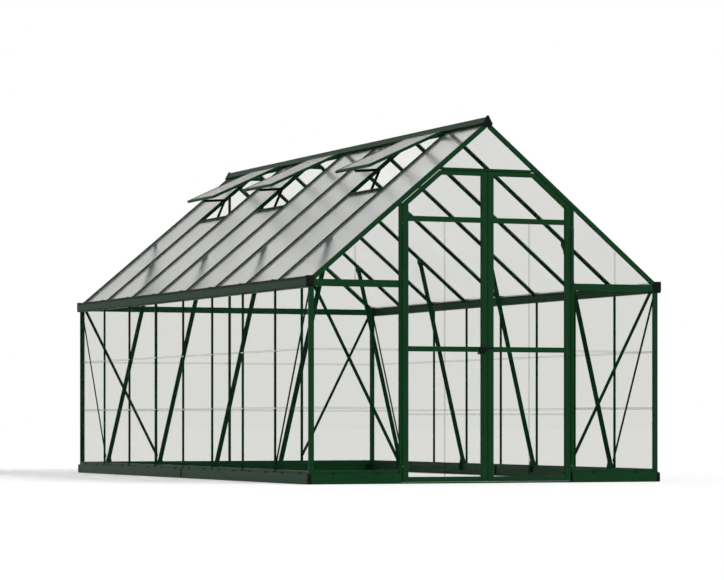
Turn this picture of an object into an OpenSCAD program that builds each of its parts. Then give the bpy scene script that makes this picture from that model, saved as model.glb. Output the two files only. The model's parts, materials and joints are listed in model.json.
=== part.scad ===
// Polycarbonate greenhouse with clear walls, a twin-wall roof, double doors and three roof vents.
// Millimetres. X runs to the right as seen from the doors, Y runs to the back and Z is up.
// The origin is the middle of the ground plan. The doors are at the -Y end, the vents on the -X slope.

/* [Grid] */
// Pitch of the glazing bars, the same along the walls and across the gables
bay = 610; // [570:5:640]
// Number of bays along each side wall
bays_long = 8; // [8:1:10]
// Pitch of the roof in degrees
pitch = 40; // [37:0.5:42]

/* [Heights] */
// Height of the base rails, up to the foot of the walls
base_h = 84; // [78:1:92]
// Height of the walls, up to the underside of the gutters
eave_z = 1238; // [1150:1:1320]
// Rise of the roof surface over the gutter underside, at the wall grid
eave_rise = 60; // [55:1:64]
// Underside of the door header
header_z = 2001; // [1940:1:2010]
// Lower joint between the wall sheets
joint_low = 480; // [380:5:560]
// Upper joint between the wall sheets
joint_high = 850; // [760:5:960]

/* [Sheets] */
// Thickness of the clear wall sheets
wall_sheet = 2; // [1:0.5:3]
// Thickness of the twin-wall roof sheets
roof_sheet = 4; // [3:0.5:6]
// Clearance on each face of a sheet in its groove
fit = 0.3; // [0.1:0.1:0.5]
// Clearance between a sheet's edge and the web of its bar
edge_gap = 0.8; // [0.4:0.2:1.4]
// Depth that a sheet is tucked into a post, rail or rafter
tuck = 6; // [4:0.5:7]

/* [Frame] */
// Width of a glazing bar's outer cap
bar_w = 18; // [15:1:22]
// Depth of a glazing bar in the side walls
bar_d = 13; // [12:0.5:18]
// Width of a gable mullion's outer cap
gable_bar_w = 22; // [18:1:28]
// Thickness of a bar's cap
cap_t = 5; // [4:0.5:6]
// Thickness of the web between a bar's two grooves
web_t = 4; // [3:0.5:5]
// Thickness of the lip behind a sheet
lip_t = 2.5; // [2:0.5:3.5]
// Width of a bar's inner stem
stem_w = 10; // [8:1:12]
// Depth of a roof bar
roof_bar_d = 26; // [22:1:30]
// Width of the bevel along the visible edges
bevel = 2; // [1:0.5:3]
// Width of a corner post across the gable
post_w = 33; // [30:1:40]
// Depth of a corner post, of the rafters and of the gable frames
post_d = 18; // [17:1:24]
// Distance that a post stands out from the grid
post_out = 8; // [7:1:10]
// Distance that a glazing bar stands out from the grid
bar_out = 9; // [8:0.5:10]
// Depth of a gable rafter, square to the roof
rafter_d = 30; // [26:1:34]
// Height of the ties across the gables
tie_h = 45; // [36:1:50]
// Gap between the gutter underside and the ties
tie_gap = 7; // [4:1:10]
// Height of the door header
header_h = 15; // [12:1:22]

/* [Base] */
// Distance that the base stands out from the grid
base_out = 18; // [16:1:24]
// Height of the ledge along the base's outer side
base_step = 66; // [58:1:70]
// Distance that the base's upper lip stands out from the grid
lip_out = 6; // [5.5:0.5:7]
// Depth of the base rail behind the grid
base_in = 38; // [34:1:44]
// Thickness of the base rail's walls
base_t = 2.5; // [2:0.5:4]
// Thickness of the base rail's grooved top
base_top = 8; // [7:0.5:10]
// Gap between the two lengths of a side rail
splice_gap = 28; // [16:2:36]
// Length that a splice reaches into each rail
splice_len = 45; // [30:5:80]
// Height of the part of a splice that shows
splice_h = 10; // [9:0.5:12]
// Radius of the anchor holes in the side rails
anchor_r = 4.5; // [3:0.5:6]
// Distance of the outer anchor holes from the middle of the wall
anchor_far = 2100; // [1800:10:2250]
// Distance of the inner anchor holes from the middle of the wall
anchor_near = 300; // [150:10:600]
// Height of the door threshold
threshold_h = 8; // [6:0.5:9]

/* [Gutter and ridge] */
// Height of the gutter
gutter_h = 69; // [66:1:80]
// Distance that the gutter stands out from the grid
gutter_out = 28; // [24:1:34]
// Thickness of the gutter's walls
gutter_t = 2.5; // [2:0.5:3.5]
// Height of the ridge top over the roof surfaces' meeting line
ridge_rise = 27.5; // [25:0.5:34]
// Half width of the ridge skirt
ridge_half = 25.5; // [24.5:0.5:27]
// Half width of the ridge core that the bars butt against
core_half = 8; // [6:0.5:10]
// Distance of the gussets' lower edge below the roof surfaces' meeting line
gusset_drop = 77; // [72:1:90]
// Height of the gusset plates
gusset_h = 23; // [18:1:28]
// Distance that the ridge end caps stand over the ridge and beside it
ridge_cap_over = 9; // [4:0.5:12]
// Thickness of the plastic end caps
cap_plate = 6; // [4:1:8]
// Height of the black seal along the gutters' outer lips
seal_h = 16; // [10:1:22]
// Thickness of that seal
seal_t = 3; // [2:0.5:4]

/* [Doors] */
// Distance from the grid line to the jamb's edge on the doorway side
jamb_inset = 13.5; // [12:0.5:20]
// Width of a door jamb
jamb_w = 17; // [16:1:22]
// Distance that the doors stand out from the grid
door_out = 13; // [11:0.5:16]
// Thickness of a door leaf
leaf_t = 25; // [22:1:28]
// Gap between a leaf and its jamb
jamb_gap = 3.5; // [3:0.5:5]
// Gap between the two leaves
meeting_gap = 3; // [3:0.5:6]
// Gap over a leaf, square to the rafter and under the header
top_gap = 6; // [4:0.5:8]
// Height of the underside of the leaves
leaf_z = 11; // [10.5:0.5:16]
// Width of a stile
stile_w = 40.5; // [36:0.5:44]
// Width of a leaf's top and sloping rails
top_rail_w = 28; // [24:1:32]
// Height of a leaf's bottom rail
bottom_rail_w = 31; // [26:1:36]
// Height of a leaf's middle and upper rails
mid_rail_w = 33; // [28:1:38]
// Underside of the middle rail
mid_rail_z = 840; // [780:5:900]
// Underside of the upper rail
upper_rail_z = 1668; // [1600:1:1700]
// Height of the joint in the lower door sheets
leaf_joint = 440; // [360:5:520]
// Radius of a hinge barrel
barrel_r = 4.5; // [4:0.25:5]
// Radius of a hinge pin
pin_r = 2; // [1.5:0.25:2.5]
// Lower end of the hinges
hinge_lo = 110; // [90:5:160]
// Upper end of the hinges
hinge_hi = 1650; // [1500:10:1700]

/* [Door handle] */
// Height of the handle's spindle
handle_z = 857; // [845:1:868]
// Distance from the middle of the doorway to the spindle
spindle_x = 22; // [20:0.5:24]
// Radius of the spindle
spindle_r = 5; // [4:0.5:6]
// Radius of a rose
rose_r = 14; // [12:0.5:15]
// Thickness of a rose
rose_t = 5; // [4:0.5:7]
// Length of the lever from the spindle to its drop end
lever_len = 58; // [52:1:66]
// Distance of the lever's middle from the face of the door
lever_off = 44; // [38:1:52]
// Throw of the latch bolt
bolt_throw = 10; // [7:0.5:11]

/* [Roof vents] */
// Opening angle of the vents as drawn
vent_open = 15.5; // [4:0.5:19]
// Distance of the vent hinge down the slope from the roof's meeting line
hinge_s = 30; // [29:0.5:32]
// Height of the vent hinge over the roof surface
hinge_rise = 9; // [8:0.5:10]
// Distance of a vent's lower edge down the slope
vent_end_s = 618; // [560:1:640]
// Thickness of a vent leaf
vent_t = 19; // [17:1:22]
// Width of a vent's frame bars
vent_bar_w = 18; // [16:1:22]
// Amount that a vent is narrower than its bay
vent_side = 12; // [8:1:16]
// Radius of the hinge bead along a vent's top
bead_r = 4; // [3.5:0.1:4.2]
// Length of each arm of a vent stay, between pivots
arm_len = 168; // [160:1:180]
// Radius of a stay's pins
stay_pin_r = 3; // [2.5:0.25:3.5]
// Clearance of the slack eye at the vent's bracket
eye_slack = 3.4; // [3:0.1:4]

/* [Bracing] */
// Width of the flat wall diagonals
diagonal_w = 21; // [16:1:24]
// Thickness of the flat wall diagonals
diagonal_t = 3; // [2:0.5:4]
// Height of the diagonals' feet over the base rails
diagonal_foot = 48; // [30:2:70]
// Width of the inner braces, across the house
brace_w = 30; // [24:1:34]
// Distance of a brace's head from the middle of the roof
brace_head_x = 845; // [760:5:900]

/* [Hidden] */
$fn = 48;

green = [0.10, 0.25, 0.15];
grey_green = [0.25, 0.30, 0.29];
black = [0.06, 0.06, 0.07];
clear_tint = [0.85, 0.87, 0.86, 0.35];
roof_tint = [0.80, 0.80, 0.80, 0.7];
steel = [0.55, 0.57, 0.58];

// Plan and roof lines
bays = round(bays_long);
half_w = 2 * bay;
half_l = bays * bay / 2;
apex_z = eave_z + eave_rise + half_w * tan(pitch);
wall_in = post_w - post_out;
gable_in = post_d - post_out;
gable_bar_d = bar_out + gable_in;
side_in = bar_d - bar_out;
wall_groove = wall_sheet + 2 * fit;
roof_groove = roof_sheet + 2 * fit;
sheet_mid = bar_out - cap_t - wall_groove / 2;
seam = 0.1;
far = 6000;

// Bays that have a vent, counted from the back, and the bars that have a brace
vent_bays = [2, 4, 7];
braced_bars = [for (k = [1:2:bays - 1]) k];

// Vertical levels and door sizes
tie_z = eave_z + tie_gap;
tie_top = tie_z + tie_h;
jamb_x = bay - jamb_inset;
jamb_out_x = jamb_x + jamb_w;
base_end_x = jamb_x + 5.5;
leaf_top = header_z - 4;
leaf_x = jamb_x - jamb_gap;
leaf_front = -(half_l + door_out);
leaf_mid = leaf_front + leaf_t / 2;
meet_x = meeting_gap / 2;
outer_drop = rafter_d + top_gap;
inner_drop = outer_drop + top_rail_w;
hinge_x = jamb_x - jamb_gap / 2;
hinge_y = leaf_front - barrel_r;
knuckles = 5;
knuckle_gap = 1;
plate_t = 2;

// Height of a line parallel to the roof at distance x, drop below the surface
function roof_z(x, drop) = apex_z - abs(x) * tan(pitch) - drop / cos(pitch);
// Distance from the middle at which that line is at height z
function roof_x(z, drop) = (apex_z - z - drop / cos(pitch)) / tan(pitch);
// Slope coordinates, s down the slope and n outward, turned into distance from the middle and height
function slope_x(s, n) = s * cos(pitch) + n * sin(pitch);
function slope_z(s, n) = apex_z - s * sin(pitch) + n * cos(pitch);
function slope_point(s, n) = [slope_x(s, n), slope_z(s, n)];
function turned(p, a) = [p.x * cos(a) - p.y * sin(a), p.x * sin(a) + p.y * cos(a)];

// Edges of the sheet in bay i of n bays between frames that reach inset inside of -half and half
function sheet_lo(i, half, inset) = i == 0 ? -half + inset - tuck
    : -half + i * bay + web_t / 2 + edge_gap;
function sheet_hi(i, n, half, inset) = i == n - 1 ? half - inset + tuck
    : -half + (i + 1) * bay - web_t / 2 - edge_gap;
// Edges of the clear view between two caps in that bay
function view_lo(i, half, inset, w) = i == 0 ? -half + inset + 0.5 : -half + i * bay + w / 2 + 0.5;
function view_hi(i, n, half, inset, w) = i == n - 1 ? half - inset - 0.5
    : -half + (i + 1) * bay - w / 2 - 0.5;
// Lower and upper edges of sheet j of a wall that ends at height top
function level_lo(j) = j == 0 ? base_h - tuck + 1 : [joint_low, joint_high][j - 1] + 1 + fit;
function level_hi(j, top) = j == 2 ? top + tuck - 1 : [joint_low, joint_high][j] - 1 - fit;

// Extrudes a drawing of (x, z) along Y
module along_y(y0, y1) {
    translate([0, y1, 0]) rotate([90, 0, 0]) linear_extrude(y1 - y0) children();
}

// Extrudes a drawing of (y, z) along X
module along_x(x0, x1) {
    translate([x0, 0, 0]) rotate([90, 0, 90]) linear_extrude(x1 - x0) children();
}

module both_sides() {
    children();
    mirror([1, 0, 0]) children();
}

module both_ends() {
    children();
    mirror([0, 1, 0]) children();
}

module four_corners() {
    both_ends() both_sides() children();
}

// Places children drawn in slope coordinates (s, y, n) on the right slope
module on_slope() {
    translate([0, 0, apex_z]) rotate([0, pitch, 0]) children();
}

// Everything below a line parallel to the roof
module under_roof(drop) {
    along_y(-far, far)
        polygon([[0, roof_z(0, drop)], [far, roof_z(far, drop)], [-far, roof_z(far, drop)]]);
}

// Section of a glazing bar: u across, v = 0 on the outer face and negative inwards
module bar_section(w, depth, groove) {
    c = w / 2;
    f = w / 2 - 2;
    g = web_t / 2;
    s = stem_w / 2;
    v1 = -cap_t;
    v2 = v1 - groove;
    v3 = v2 - lip_t;
    half = [[0, 0], [c - bevel, 0], [c, -bevel], [c, v1], [g, v1], [g, v2], [f, v2], [f, v3],
        [s, v3], [s, -depth], [0, -depth]];
    polygon(half);
    mirror([1, 0]) polygon(half);
}

// Base

base_mid = base_h / 2;
cap_z = base_step - 6;

module base_section() {
    difference() {
        polygon([[base_out, 0], [base_out, base_step - 1.5], [base_out - 1.5, base_step],
            [lip_out, base_step], [lip_out, base_h], [-base_in, base_h], [-base_in, base_mid + 2],
            [base_t - base_in, base_mid], [base_t - base_in, 0], [10 - base_in, 0], [10 - base_in, 3],
            [2 * base_t - base_in, 3], [2 * base_t - base_in, base_mid + 1],
            [base_t - base_in, base_mid + 3], [base_t - base_in, base_h - base_top],
            [lip_out - base_t, base_h - base_top], [lip_out - base_t, base_step - base_t],
            [base_out - base_t, base_step - base_t], [base_out - base_t, 3], [-20, 3], [-20, 0]]);
        translate([sheet_mid - wall_groove / 2, base_h - tuck]) square([wall_groove, tuck + 1]);
    }
}

cap_leg = 24;
mitre_x = half_w + base_out + 2 - cap_leg - 0.2;
mitre_y = half_l + base_out + 2 - cap_leg - 0.2;
mitre_run = mitre_x - (half_w - base_in - 5);

module base_side_rails() {
    color(grey_green) four_corners() difference() {
        intersection() {
            along_y(splice_gap / 2, half_l + base_out) translate([half_w, 0]) base_section();
            translate([0, 0, -1]) linear_extrude(base_h + 2)
                polygon([[mitre_x - mitre_run, 0], [half_w + 60, 0], [half_w + 60, mitre_y],
                    [mitre_x, mitre_y], [mitre_x - mitre_run, mitre_y - mitre_run]]);
        }
        for (y = [anchor_near, anchor_far])
            translate([half_w - base_t - 4, y, -1]) cylinder(h = 5, r = anchor_r);
    }
}

module base_end_rail(x0) {
    intersection() {
        along_x(x0, half_w + base_out) translate([half_l, 0]) base_section();
        translate([0, 0, -1]) linear_extrude(base_h + 2)
            polygon([[x0, half_l + 60], [mitre_x, half_l + 60], [mitre_x, mitre_y],
                [mitre_x - mitre_run, mitre_y - mitre_run], [x0, mitre_y - mitre_run]]);
    }
}

module base_end_rails() {
    color(green) {
        both_sides() mirror([0, 1, 0]) base_end_rail(base_end_x);
        both_sides() base_end_rail(0.1);
    }
}

module base_corner_caps() {
    x = half_w + base_out + 2;
    y = half_l + base_out + 2;
    color(black) four_corners() {
        linear_extrude(cap_z)
            polygon([[x - cap_leg, y - cap_leg], [x, y - cap_leg], [x, y - 3], [x - 3, y],
                [x - cap_leg, y]]);
        translate([x - 16, y - cap_leg - 22, 4]) cube([10, 24, cap_z - 10]);
        translate([x - cap_leg - 22, y - 16, 4]) cube([24, 10, cap_z - 10]);
    }
}

module base_splices() {
    y = splice_gap / 2 - 0.2;
    color(grey_green) both_sides() {
        along_y(-y, y) translate([half_w, 0]) difference() {
            translate([-base_in, base_h - splice_h]) square([base_in + lip_out, splice_h]);
            translate([sheet_mid - wall_groove / 2, base_h - tuck]) square([wall_groove, tuck + 1]);
        }
        for (x = [base_t + 0.2 - base_in, lip_out - base_t - 10.2])
            translate([half_w + x, -y - splice_len, base_h - base_top - 4.3])
                cube([10, 2 * (y + splice_len), 4]);
    }
}

clip_w = 16;

// Small hook over the base's ledge, drawn at the right wall
module base_clip() {
    x = base_out + 0.1;
    translate([half_w, -clip_w / 2, base_step]) rotate([90, 0, 180]) mirror([1, 0, 0])
        linear_extrude(clip_w)
            polygon([[lip_out + 0.1, 0.1], [x, 0.1], [x, -7], [x + 2, -6], [x + 2, 2],
                [lip_out + 5, 6], [lip_out + 0.1, 6]]);
}

module base_clips() {
    color(black) {
        both_sides() for (i = [0:bays - 1], d = [-1, 1])
            translate([0, -half_l + (i + 0.5 + d / 4) * bay, 0]) base_clip();
        for (e = [-1, 1], i = [0:3], d = [-1, 1]) {
            x = -half_w + (i + 0.5 + d / 4) * bay;
            if (e > 0 || abs(x) > bay)
                translate([x, e * (half_l - half_w), 0]) rotate([0, 0, e * 90]) base_clip();
        }
    }
}

module door_threshold() {
    y = half_l + base_out;
    color(grey_green) mirror([0, 1, 0]) along_x(-base_end_x + 0.2, base_end_x - 0.2)
        polygon([[y, 0], [y, 4], [y - 5, threshold_h], [y - 38, threshold_h], [y - 48, 3], [y - 48, 0]]);
}

// Walls

module corner_posts() {
    foot = 3.5;
    color(green) four_corners() {
        translate([half_w - wall_in, half_l - gable_in, base_h]) linear_extrude(eave_z - base_h)
            difference() {
                polygon([[0, 0], [post_w, 0], [post_w, post_d - 3], [post_w - 3, post_d], [0, post_d]]);
                translate([tuck + 3, 3]) square([post_w - 2 * tuck - 8, post_d - 6]);
                translate([wall_in + sheet_mid - wall_groove / 2, -1]) square([wall_groove, tuck + 2]);
                translate([-1, gable_in + sheet_mid - wall_groove / 2]) square([tuck + 2, wall_groove]);
            }
        translate([half_w, half_l, cap_z + 0.1]) linear_extrude(base_h - cap_z + 1)
            polygon([[-foot, -foot], [post_out, -foot], [post_out, post_out - 3],
                [post_out - 3, post_out], [-foot, post_out]]);
    }
}

// Front of a bar or jamb that reaches down over the base's lip and ends y1 before the grid
module bar_foot(w, y1) {
    translate([-w / 2, lip_out + 0.1, base_step + 0.1])
        cube([w, y1 - lip_out - 0.1, base_h - base_step + 1]);
}

module side_mullions() {
    color(green) both_sides() for (k = [1:bays - 1])
        translate([half_w, -half_l + k * bay, 0]) rotate([0, 0, -90]) {
            translate([0, bar_out, base_h]) linear_extrude(eave_z - base_h)
                bar_section(bar_w, bar_d, wall_groove);
            bar_foot(bar_w - 2 * bevel, bar_out);
        }
}

module back_mullions() {
    color(green) for (k = [-1, 0, 1]) {
        translate([k * bay, half_l + bar_out, base_h])
            linear_extrude(tie_z - base_h) bar_section(gable_bar_w, gable_bar_d, wall_groove);
        translate([k * bay, half_l, 0]) bar_foot(gable_bar_w - 2 * bevel, bar_out);
        intersection() {
            translate([k * bay, half_l + bar_out, tie_top])
                linear_extrude(apex_z) bar_section(gable_bar_w, gable_bar_d, wall_groove);
            under_roof(rafter_d);
        }
    }
}

module door_jambs() {
    depth = door_out + gable_in;
    color(green) both_sides() {
        intersection() {
            translate([jamb_x, -(half_l + door_out), base_h]) linear_extrude(apex_z) difference() {
                polygon([[0, 0], [jamb_w - bevel, 0], [jamb_w, bevel], [jamb_w, depth], [0, depth]]);
                translate([jamb_w - tuck - 1, door_out - sheet_mid - wall_groove / 2])
                    square([tuck + 2, wall_groove]);
                translate([3, 3]) square([jamb_w - tuck - 6, depth - 6]);
            }
            under_roof(rafter_d);
        }
        mirror([0, 1, 0]) translate([jamb_x + jamb_w / 2, half_l, 0])
            bar_foot(jamb_w - 2 * bevel, door_out);
    }
}

// Section of a tie: (y, z) with grooves along both edges
module tie_section() {
    difference() {
        polygon([[half_l - gable_in, 0], [half_l + post_out - bevel, 0], [half_l + post_out, bevel],
            [half_l + post_out, tie_h - bevel], [half_l + post_out - bevel, tie_h],
            [half_l - gable_in, tie_h]]);
        for (z = [-1, tie_h - tuck - 1])
            translate([half_l + sheet_mid - wall_groove / 2, z]) square([wall_groove, tuck + 2]);
        translate([half_l - gable_in + 3, tuck + 4]) square([post_d - 6, tie_h - 2 * tuck - 8]);
    }
}

module gable_ties() {
    tie_x = half_w - wall_in;
    color(green) intersection() {
        union() {
            translate([0, 0, tie_z]) along_x(-tie_x, tie_x) tie_section();
            both_sides() mirror([0, 1, 0]) translate([0, 0, tie_z]) along_x(jamb_out_x, tie_x)
                tie_section();
        }
        under_roof(rafter_d);
    }
}

stop_in = leaf_t - door_out + 1.2 + 3.5;
stop_x = roof_x(header_z + header_h, rafter_d) - 4;

// Header over the doors, with a stop that reaches down behind the leaves
module door_header() {
    color(green) intersection() {
        mirror([0, 1, 0]) {
            along_x(-half_w, half_w) difference() {
                translate([half_l - gable_in, header_z]) square([post_d, header_h]);
                translate([half_l + sheet_mid - wall_groove / 2, header_z + header_h - tuck - 1])
                    square([wall_groove, tuck + 2]);
            }
            along_x(-stop_x, stop_x) {
                translate([half_l - stop_in, header_z]) square([stop_in - gable_in + 1, header_h - 4]);
                translate([half_l - stop_in, header_z - 12]) square([3.5, 13]);
            }
        }
        under_roof(rafter_d);
    }
}

// Roof

seat_z = roof_z(half_w - wall_in + gutter_t, roof_bar_d) - eave_z;

module gutter_section() {
    x0 = -wall_in;
    x1 = gutter_out;
    difference() {
        polygon([[x0, 0], [x1 - 3, 0], [x1, 3], [x1, gutter_h - 2], [x1 - 2, gutter_h],
            [x1 - 8, gutter_h], [x1 - 8, gutter_h - gutter_t], [x1 - gutter_t, gutter_h - gutter_t],
            [x1 - gutter_t, gutter_t], [sheet_mid + 4, gutter_t], [sheet_mid + 4, tuck + gutter_t],
            [sheet_mid - 4, tuck + gutter_t], [sheet_mid - 4, gutter_t], [x0 + gutter_t, gutter_t],
            [x0 + gutter_t, seat_z], [x0, seat_z + gutter_t * tan(pitch)]]);
        translate([sheet_mid - wall_groove / 2, -1]) square([wall_groove, tuck + 1]);
    }
}

module gutter() {
    color(grey_green) along_y(-(half_l + post_out), half_l + post_out)
        translate([half_w, eave_z]) gutter_section();
}

module gutter_right() {
    gutter();
}

module gutter_left() {
    mirror([1, 0, 0]) gutter();
}

module gutter_end_caps() {
    r = 8;
    x0 = half_w - wall_in + 1;
    x1 = half_w + gutter_out + 1;
    z0 = eave_z + 7;
    z1 = eave_z + gutter_h + 5;
    y = half_l + post_out;
    color(black) four_corners() {
        along_y(y, y + cap_plate) {
            translate([x0, z0 + r]) square([x1 - x0, z1 - z0 - 2 * r]);
            translate([x0 + r, z0]) square([x1 - x0 - 2 * r, z1 - z0]);
            for (x = [x0 + r, x1 - r], z = [z0 + r, z1 - r]) translate([x, z]) circle(r);
        }
        along_y(y - 14, y) translate([half_w + gutter_out - gutter_t - 12.2, z0 + 2])
            square([12, gutter_h / 2]);
    }
}

// Black seal along the outer lip of each gutter
module eave_seals() {
    y = half_l + post_out;
    z = eave_z + gutter_h;
    x = half_w + gutter_out + 0.1;
    color(black) both_sides() along_y(-y, y)
        polygon([[x, z - seal_h], [x + seal_t - 1, z - seal_h], [x + seal_t, z - seal_h + 2],
            [x + seal_t, z - 2], [x + seal_t - 1, z], [x, z]]);
}

eave_s = (half_w - 2) / cos(pitch);

// A member along the slope, cut upright beside the ridge core
module sloping(y) {
    intersection() {
        on_slope() translate([-20, y, 0]) rotate([90, 0, 90]) linear_extrude(eave_s + 20) children();
        translate([core_half + 0.1, -far, 0]) cube([far, 2 * far, far]);
    }
}

module gable_rafters() {
    t = post_d;
    cope_x = half_w - wall_in - fit;
    color(green) four_corners() difference() {
        sloping(half_l - gable_in) difference() {
            polygon([[0, 0], [t - bevel, 0], [t, -bevel], [t, bevel - rafter_d],
                [t - bevel, -rafter_d], [0, -rafter_d]]);
            translate([-1, -cap_t - roof_groove]) square([tuck + 2, roof_groove]);
            translate([gable_in + sheet_mid - wall_groove / 2, -rafter_d - 1])
                square([wall_groove, tuck + 2]);
        }
        intersection() {
            under_roof(roof_bar_d);
            translate([cope_x, -far, 0]) cube([far, 2 * far, far]);
        }
    }
}

module roof_bars_right() {
    color(green) for (k = [1:bays - 1])
        sloping(-half_l + k * bay) bar_section(bar_w, roof_bar_d, roof_groove);
}

module roof_bars_left() {
    mirror([1, 0, 0]) roof_bars_right();
}

// Plastic end piece of a roof bar, which hooks onto the gutter's lip
module roof_bar_clips() {
    top = slope_point(eave_s, 0);
    foot = slope_point(eave_s, -roof_bar_d);
    out = [4 * cos(pitch), -4 * sin(pitch)];
    lip_x = half_w + gutter_out - 1;
    lip_z = eave_z + gutter_h + 0.1;
    color(black) both_sides() for (k = [0:bays]) {
        at_end = k == 0 || k == bays;
        w = at_end ? post_d : bar_w + 2;
        y = at_end ? sign(k - 0.5) * (half_l - gable_in + post_d / 2) : -half_l + k * bay;
        along_y(y - w / 2, y + w / 2)
            polygon([foot + 0.05 * out, foot + out, top + out + [0, -6], [lip_x - 9, lip_z],
                [lip_x, lip_z], [lip_x, lip_z + 4], [top.x + 1, lip_z + 4], top + 0.05 * out]);
    }
}

socket_c = [slope_x(hinge_s, hinge_rise), slope_z(hinge_s, hinge_rise) - apex_z];
socket_r = bead_r + 0.4;

module ridge_section() {
    foot = [ridge_half - 2, 0.5 - (ridge_half - 2) * tan(pitch)];
    skirt = [ridge_half, foot.y + 5];
    half = [[0, ridge_rise], [5, ridge_rise], skirt, foot, [core_half, 0.5 - core_half * tan(pitch)],
        [core_half, -rafter_d / cos(pitch) + 1], [0, -rafter_d / cos(pitch) + 1]];
    difference() {
        union() for (m = [0, 1]) mirror([m, 0]) {
            polygon(half);
            translate(socket_c) circle(socket_r + 2);
        }
        polygon([[-2.5, ridge_rise - 5], [2.5, ridge_rise - 5], [ridge_half - 7, foot.y + 8],
            [0, 5.5], [7 - ridge_half, foot.y + 8]]);
        for (m = [0, 1]) mirror([m, 0]) translate(socket_c) {
            circle(socket_r);
            polygon([[0, 0], [20, 1], [20, -30], [10, -20]]);
        }
    }
}

module ridge_profile() {
    color(grey_green) both_ends() along_y(0.5, half_l + post_out) translate([0, apex_z])
        ridge_section();
}

module ridge_end_caps() {
    y = half_l + post_out;
    c = ridge_cap_over;
    color(black) both_ends() {
        along_y(y, y + cap_plate) translate([0, apex_z])
            polygon([[-6, ridge_rise + c], [6, ridge_rise + c], [ridge_half + c + 1, -18],
                [ridge_half + c - 7, -30], [core_half + 3, -rafter_d / cos(pitch) - 2],
                [-core_half - 3, -rafter_d / cos(pitch) - 2], [7 - c - ridge_half, -30],
                [-1 - c - ridge_half, -18]]);
        along_y(y - 12, y) translate([0, apex_z]) polygon([[-2, ridge_rise - 8], [2, ridge_rise - 8],
            [8, 5], [0, 7.5], [-8, 5]]);
    }
}

module ridge_gussets() {
    z0 = apex_z - gusset_drop;
    z1 = z0 + gusset_h;
    drop = cap_t + roof_groove + lip_t + 0.3;
    color(green) for (k = braced_bars, m = [0, 1])
        translate([0, -half_l + k * bay, 0]) mirror([0, m, 0]) {
            along_y(stem_w / 2 + 0.1, stem_w / 2 + 3.1)
                polygon([[-roof_x(z0, drop), z0], [roof_x(z0, drop), z0], [roof_x(z1, drop), z1],
                    [-roof_x(z1, drop), z1]]);
        }
}

// Bracing

brace_t = stem_w;
brace_foot = [half_w - side_in - diagonal_t - 1 - brace_w / 2, base_h + 0.3];
brace_head = [brace_head_x, roof_z(brace_head_x, roof_bar_d)];
brace_bolt_r = 2.5;
foot_bolt_z = brace_foot.y + 24;

// Section of a brace: a channel that opens to the back
module brace_section() {
    t = 2.5;
    translate([-brace_w / 2, -brace_t / 2]) difference() {
        square([brace_w, brace_t]);
        translate([t, t]) square([brace_w - 2 * t, brace_t]);
    }
}

// Channels that lean from the base up to every second roof bar
module wall_braces() {
    len = norm(brace_head - brace_foot) + 2 * brace_w;
    lean = atan2(brace_foot.x - brace_head.x, brace_head.y - brace_foot.y);
    color(green) both_sides() for (k = braced_bars) translate([0, -half_l + k * bay, 0])
        difference() {
            intersection() {
                translate([brace_foot.x, 0, brace_foot.y]) rotate([0, -lean, 0])
                    translate([0, 0, -brace_w]) linear_extrude(len) brace_section();
                under_roof(roof_bar_d + 0.3);
                translate([0, -far, brace_foot.y]) cube([far, 2 * far, far]);
            }
            translate([brace_foot.x, -brace_t, foot_bolt_z]) rotate([-90, 0, 0])
                cylinder(h = 2 * brace_t, r = brace_bolt_r + 0.1, $fn = 24);
        }
}

// Pairs of plates that hold the braces at foot and head, with a bolt through each foot
module brace_brackets() {
    y0 = brace_t / 2 + 0.1;
    x = brace_foot.x;
    face = half_w - base_in - 0.1;
    hx = brace_head.x;
    drop = cap_t + roof_groove + lip_t + 0.3;
    color(green) both_sides() for (k = braced_bars) translate([0, -half_l + k * bay, 0]) {
        for (m = [0, 1]) mirror([0, m, 0]) {
            along_y(y0, y0 + 3) polygon([[x + brace_w / 2, base_h + 0.1], [face, base_h + 0.1],
                [face, base_h - 52], [face - 16, base_h - 52], [face - 20, base_h - 20],
                [x - 22, base_h + 42], [x - 4, base_h + 52], [x + 10, base_h + 30]]);
            along_y(y0, y0 + 3) polygon([[hx - 20, roof_z(hx - 20, drop)],
                [hx + 26, roof_z(hx + 26, drop)], [hx + 18, brace_head.y - 34],
                [hx - 6, brace_head.y - 34], [hx - 20, brace_head.y - 8]]);
        }
        translate([face - 3, -y0 - 3, base_h - 52]) cube([3, 2 * y0 + 6, 40]);
        translate([x, -y0 - 6, foot_bolt_z]) rotate([-90, 0, 0]) {
            cylinder(h = 2 * y0 + 12, r = brace_bolt_r, $fn = 24);
            cylinder(h = 3, r = 2 * brace_bolt_r, $fn = 24);
            translate([0, 0, 2 * y0 + 9]) cylinder(h = 3, r = 2 * brace_bolt_r, $fn = 6);
        }
    }
}

// Flat bar between two points of a wall drawing
module flat_link(a, b, w) {
    len = norm(b - a);
    translate(a) rotate(atan2(b.y - a.y, b.x - a.x)) {
        translate([0, -w / 2]) square([len, w]);
        for (x = [0, len]) translate([x, 0]) circle(w / 2, $fn = 32);
    }
}

module wall_diagonals() {
    r = diagonal_w / 2;
    foot_z = base_h + diagonal_foot;
    side_x = half_w - side_in;
    end_y = half_l - gable_in;
    side_top = [end_y - r - 0.5, eave_z - r - 1];
    end_top = [half_w - wall_in - r - 1, eave_z + 6];
    color(green) {
        four_corners() translate([side_x - diagonal_t, 0, 0])
            along_x(0, diagonal_t) flat_link(side_top, [half_l - bay, foot_z], diagonal_w);
        both_sides() along_y(end_y - diagonal_t, end_y) flat_link(end_top, [bay, foot_z], diagonal_w);
        both_sides() mirror([0, 1, 0]) along_y(end_y - diagonal_t, end_y)
            flat_link(end_top, [jamb_x + jamb_w / 2, foot_z], diagonal_w);
    }
}

// Sheets

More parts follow.
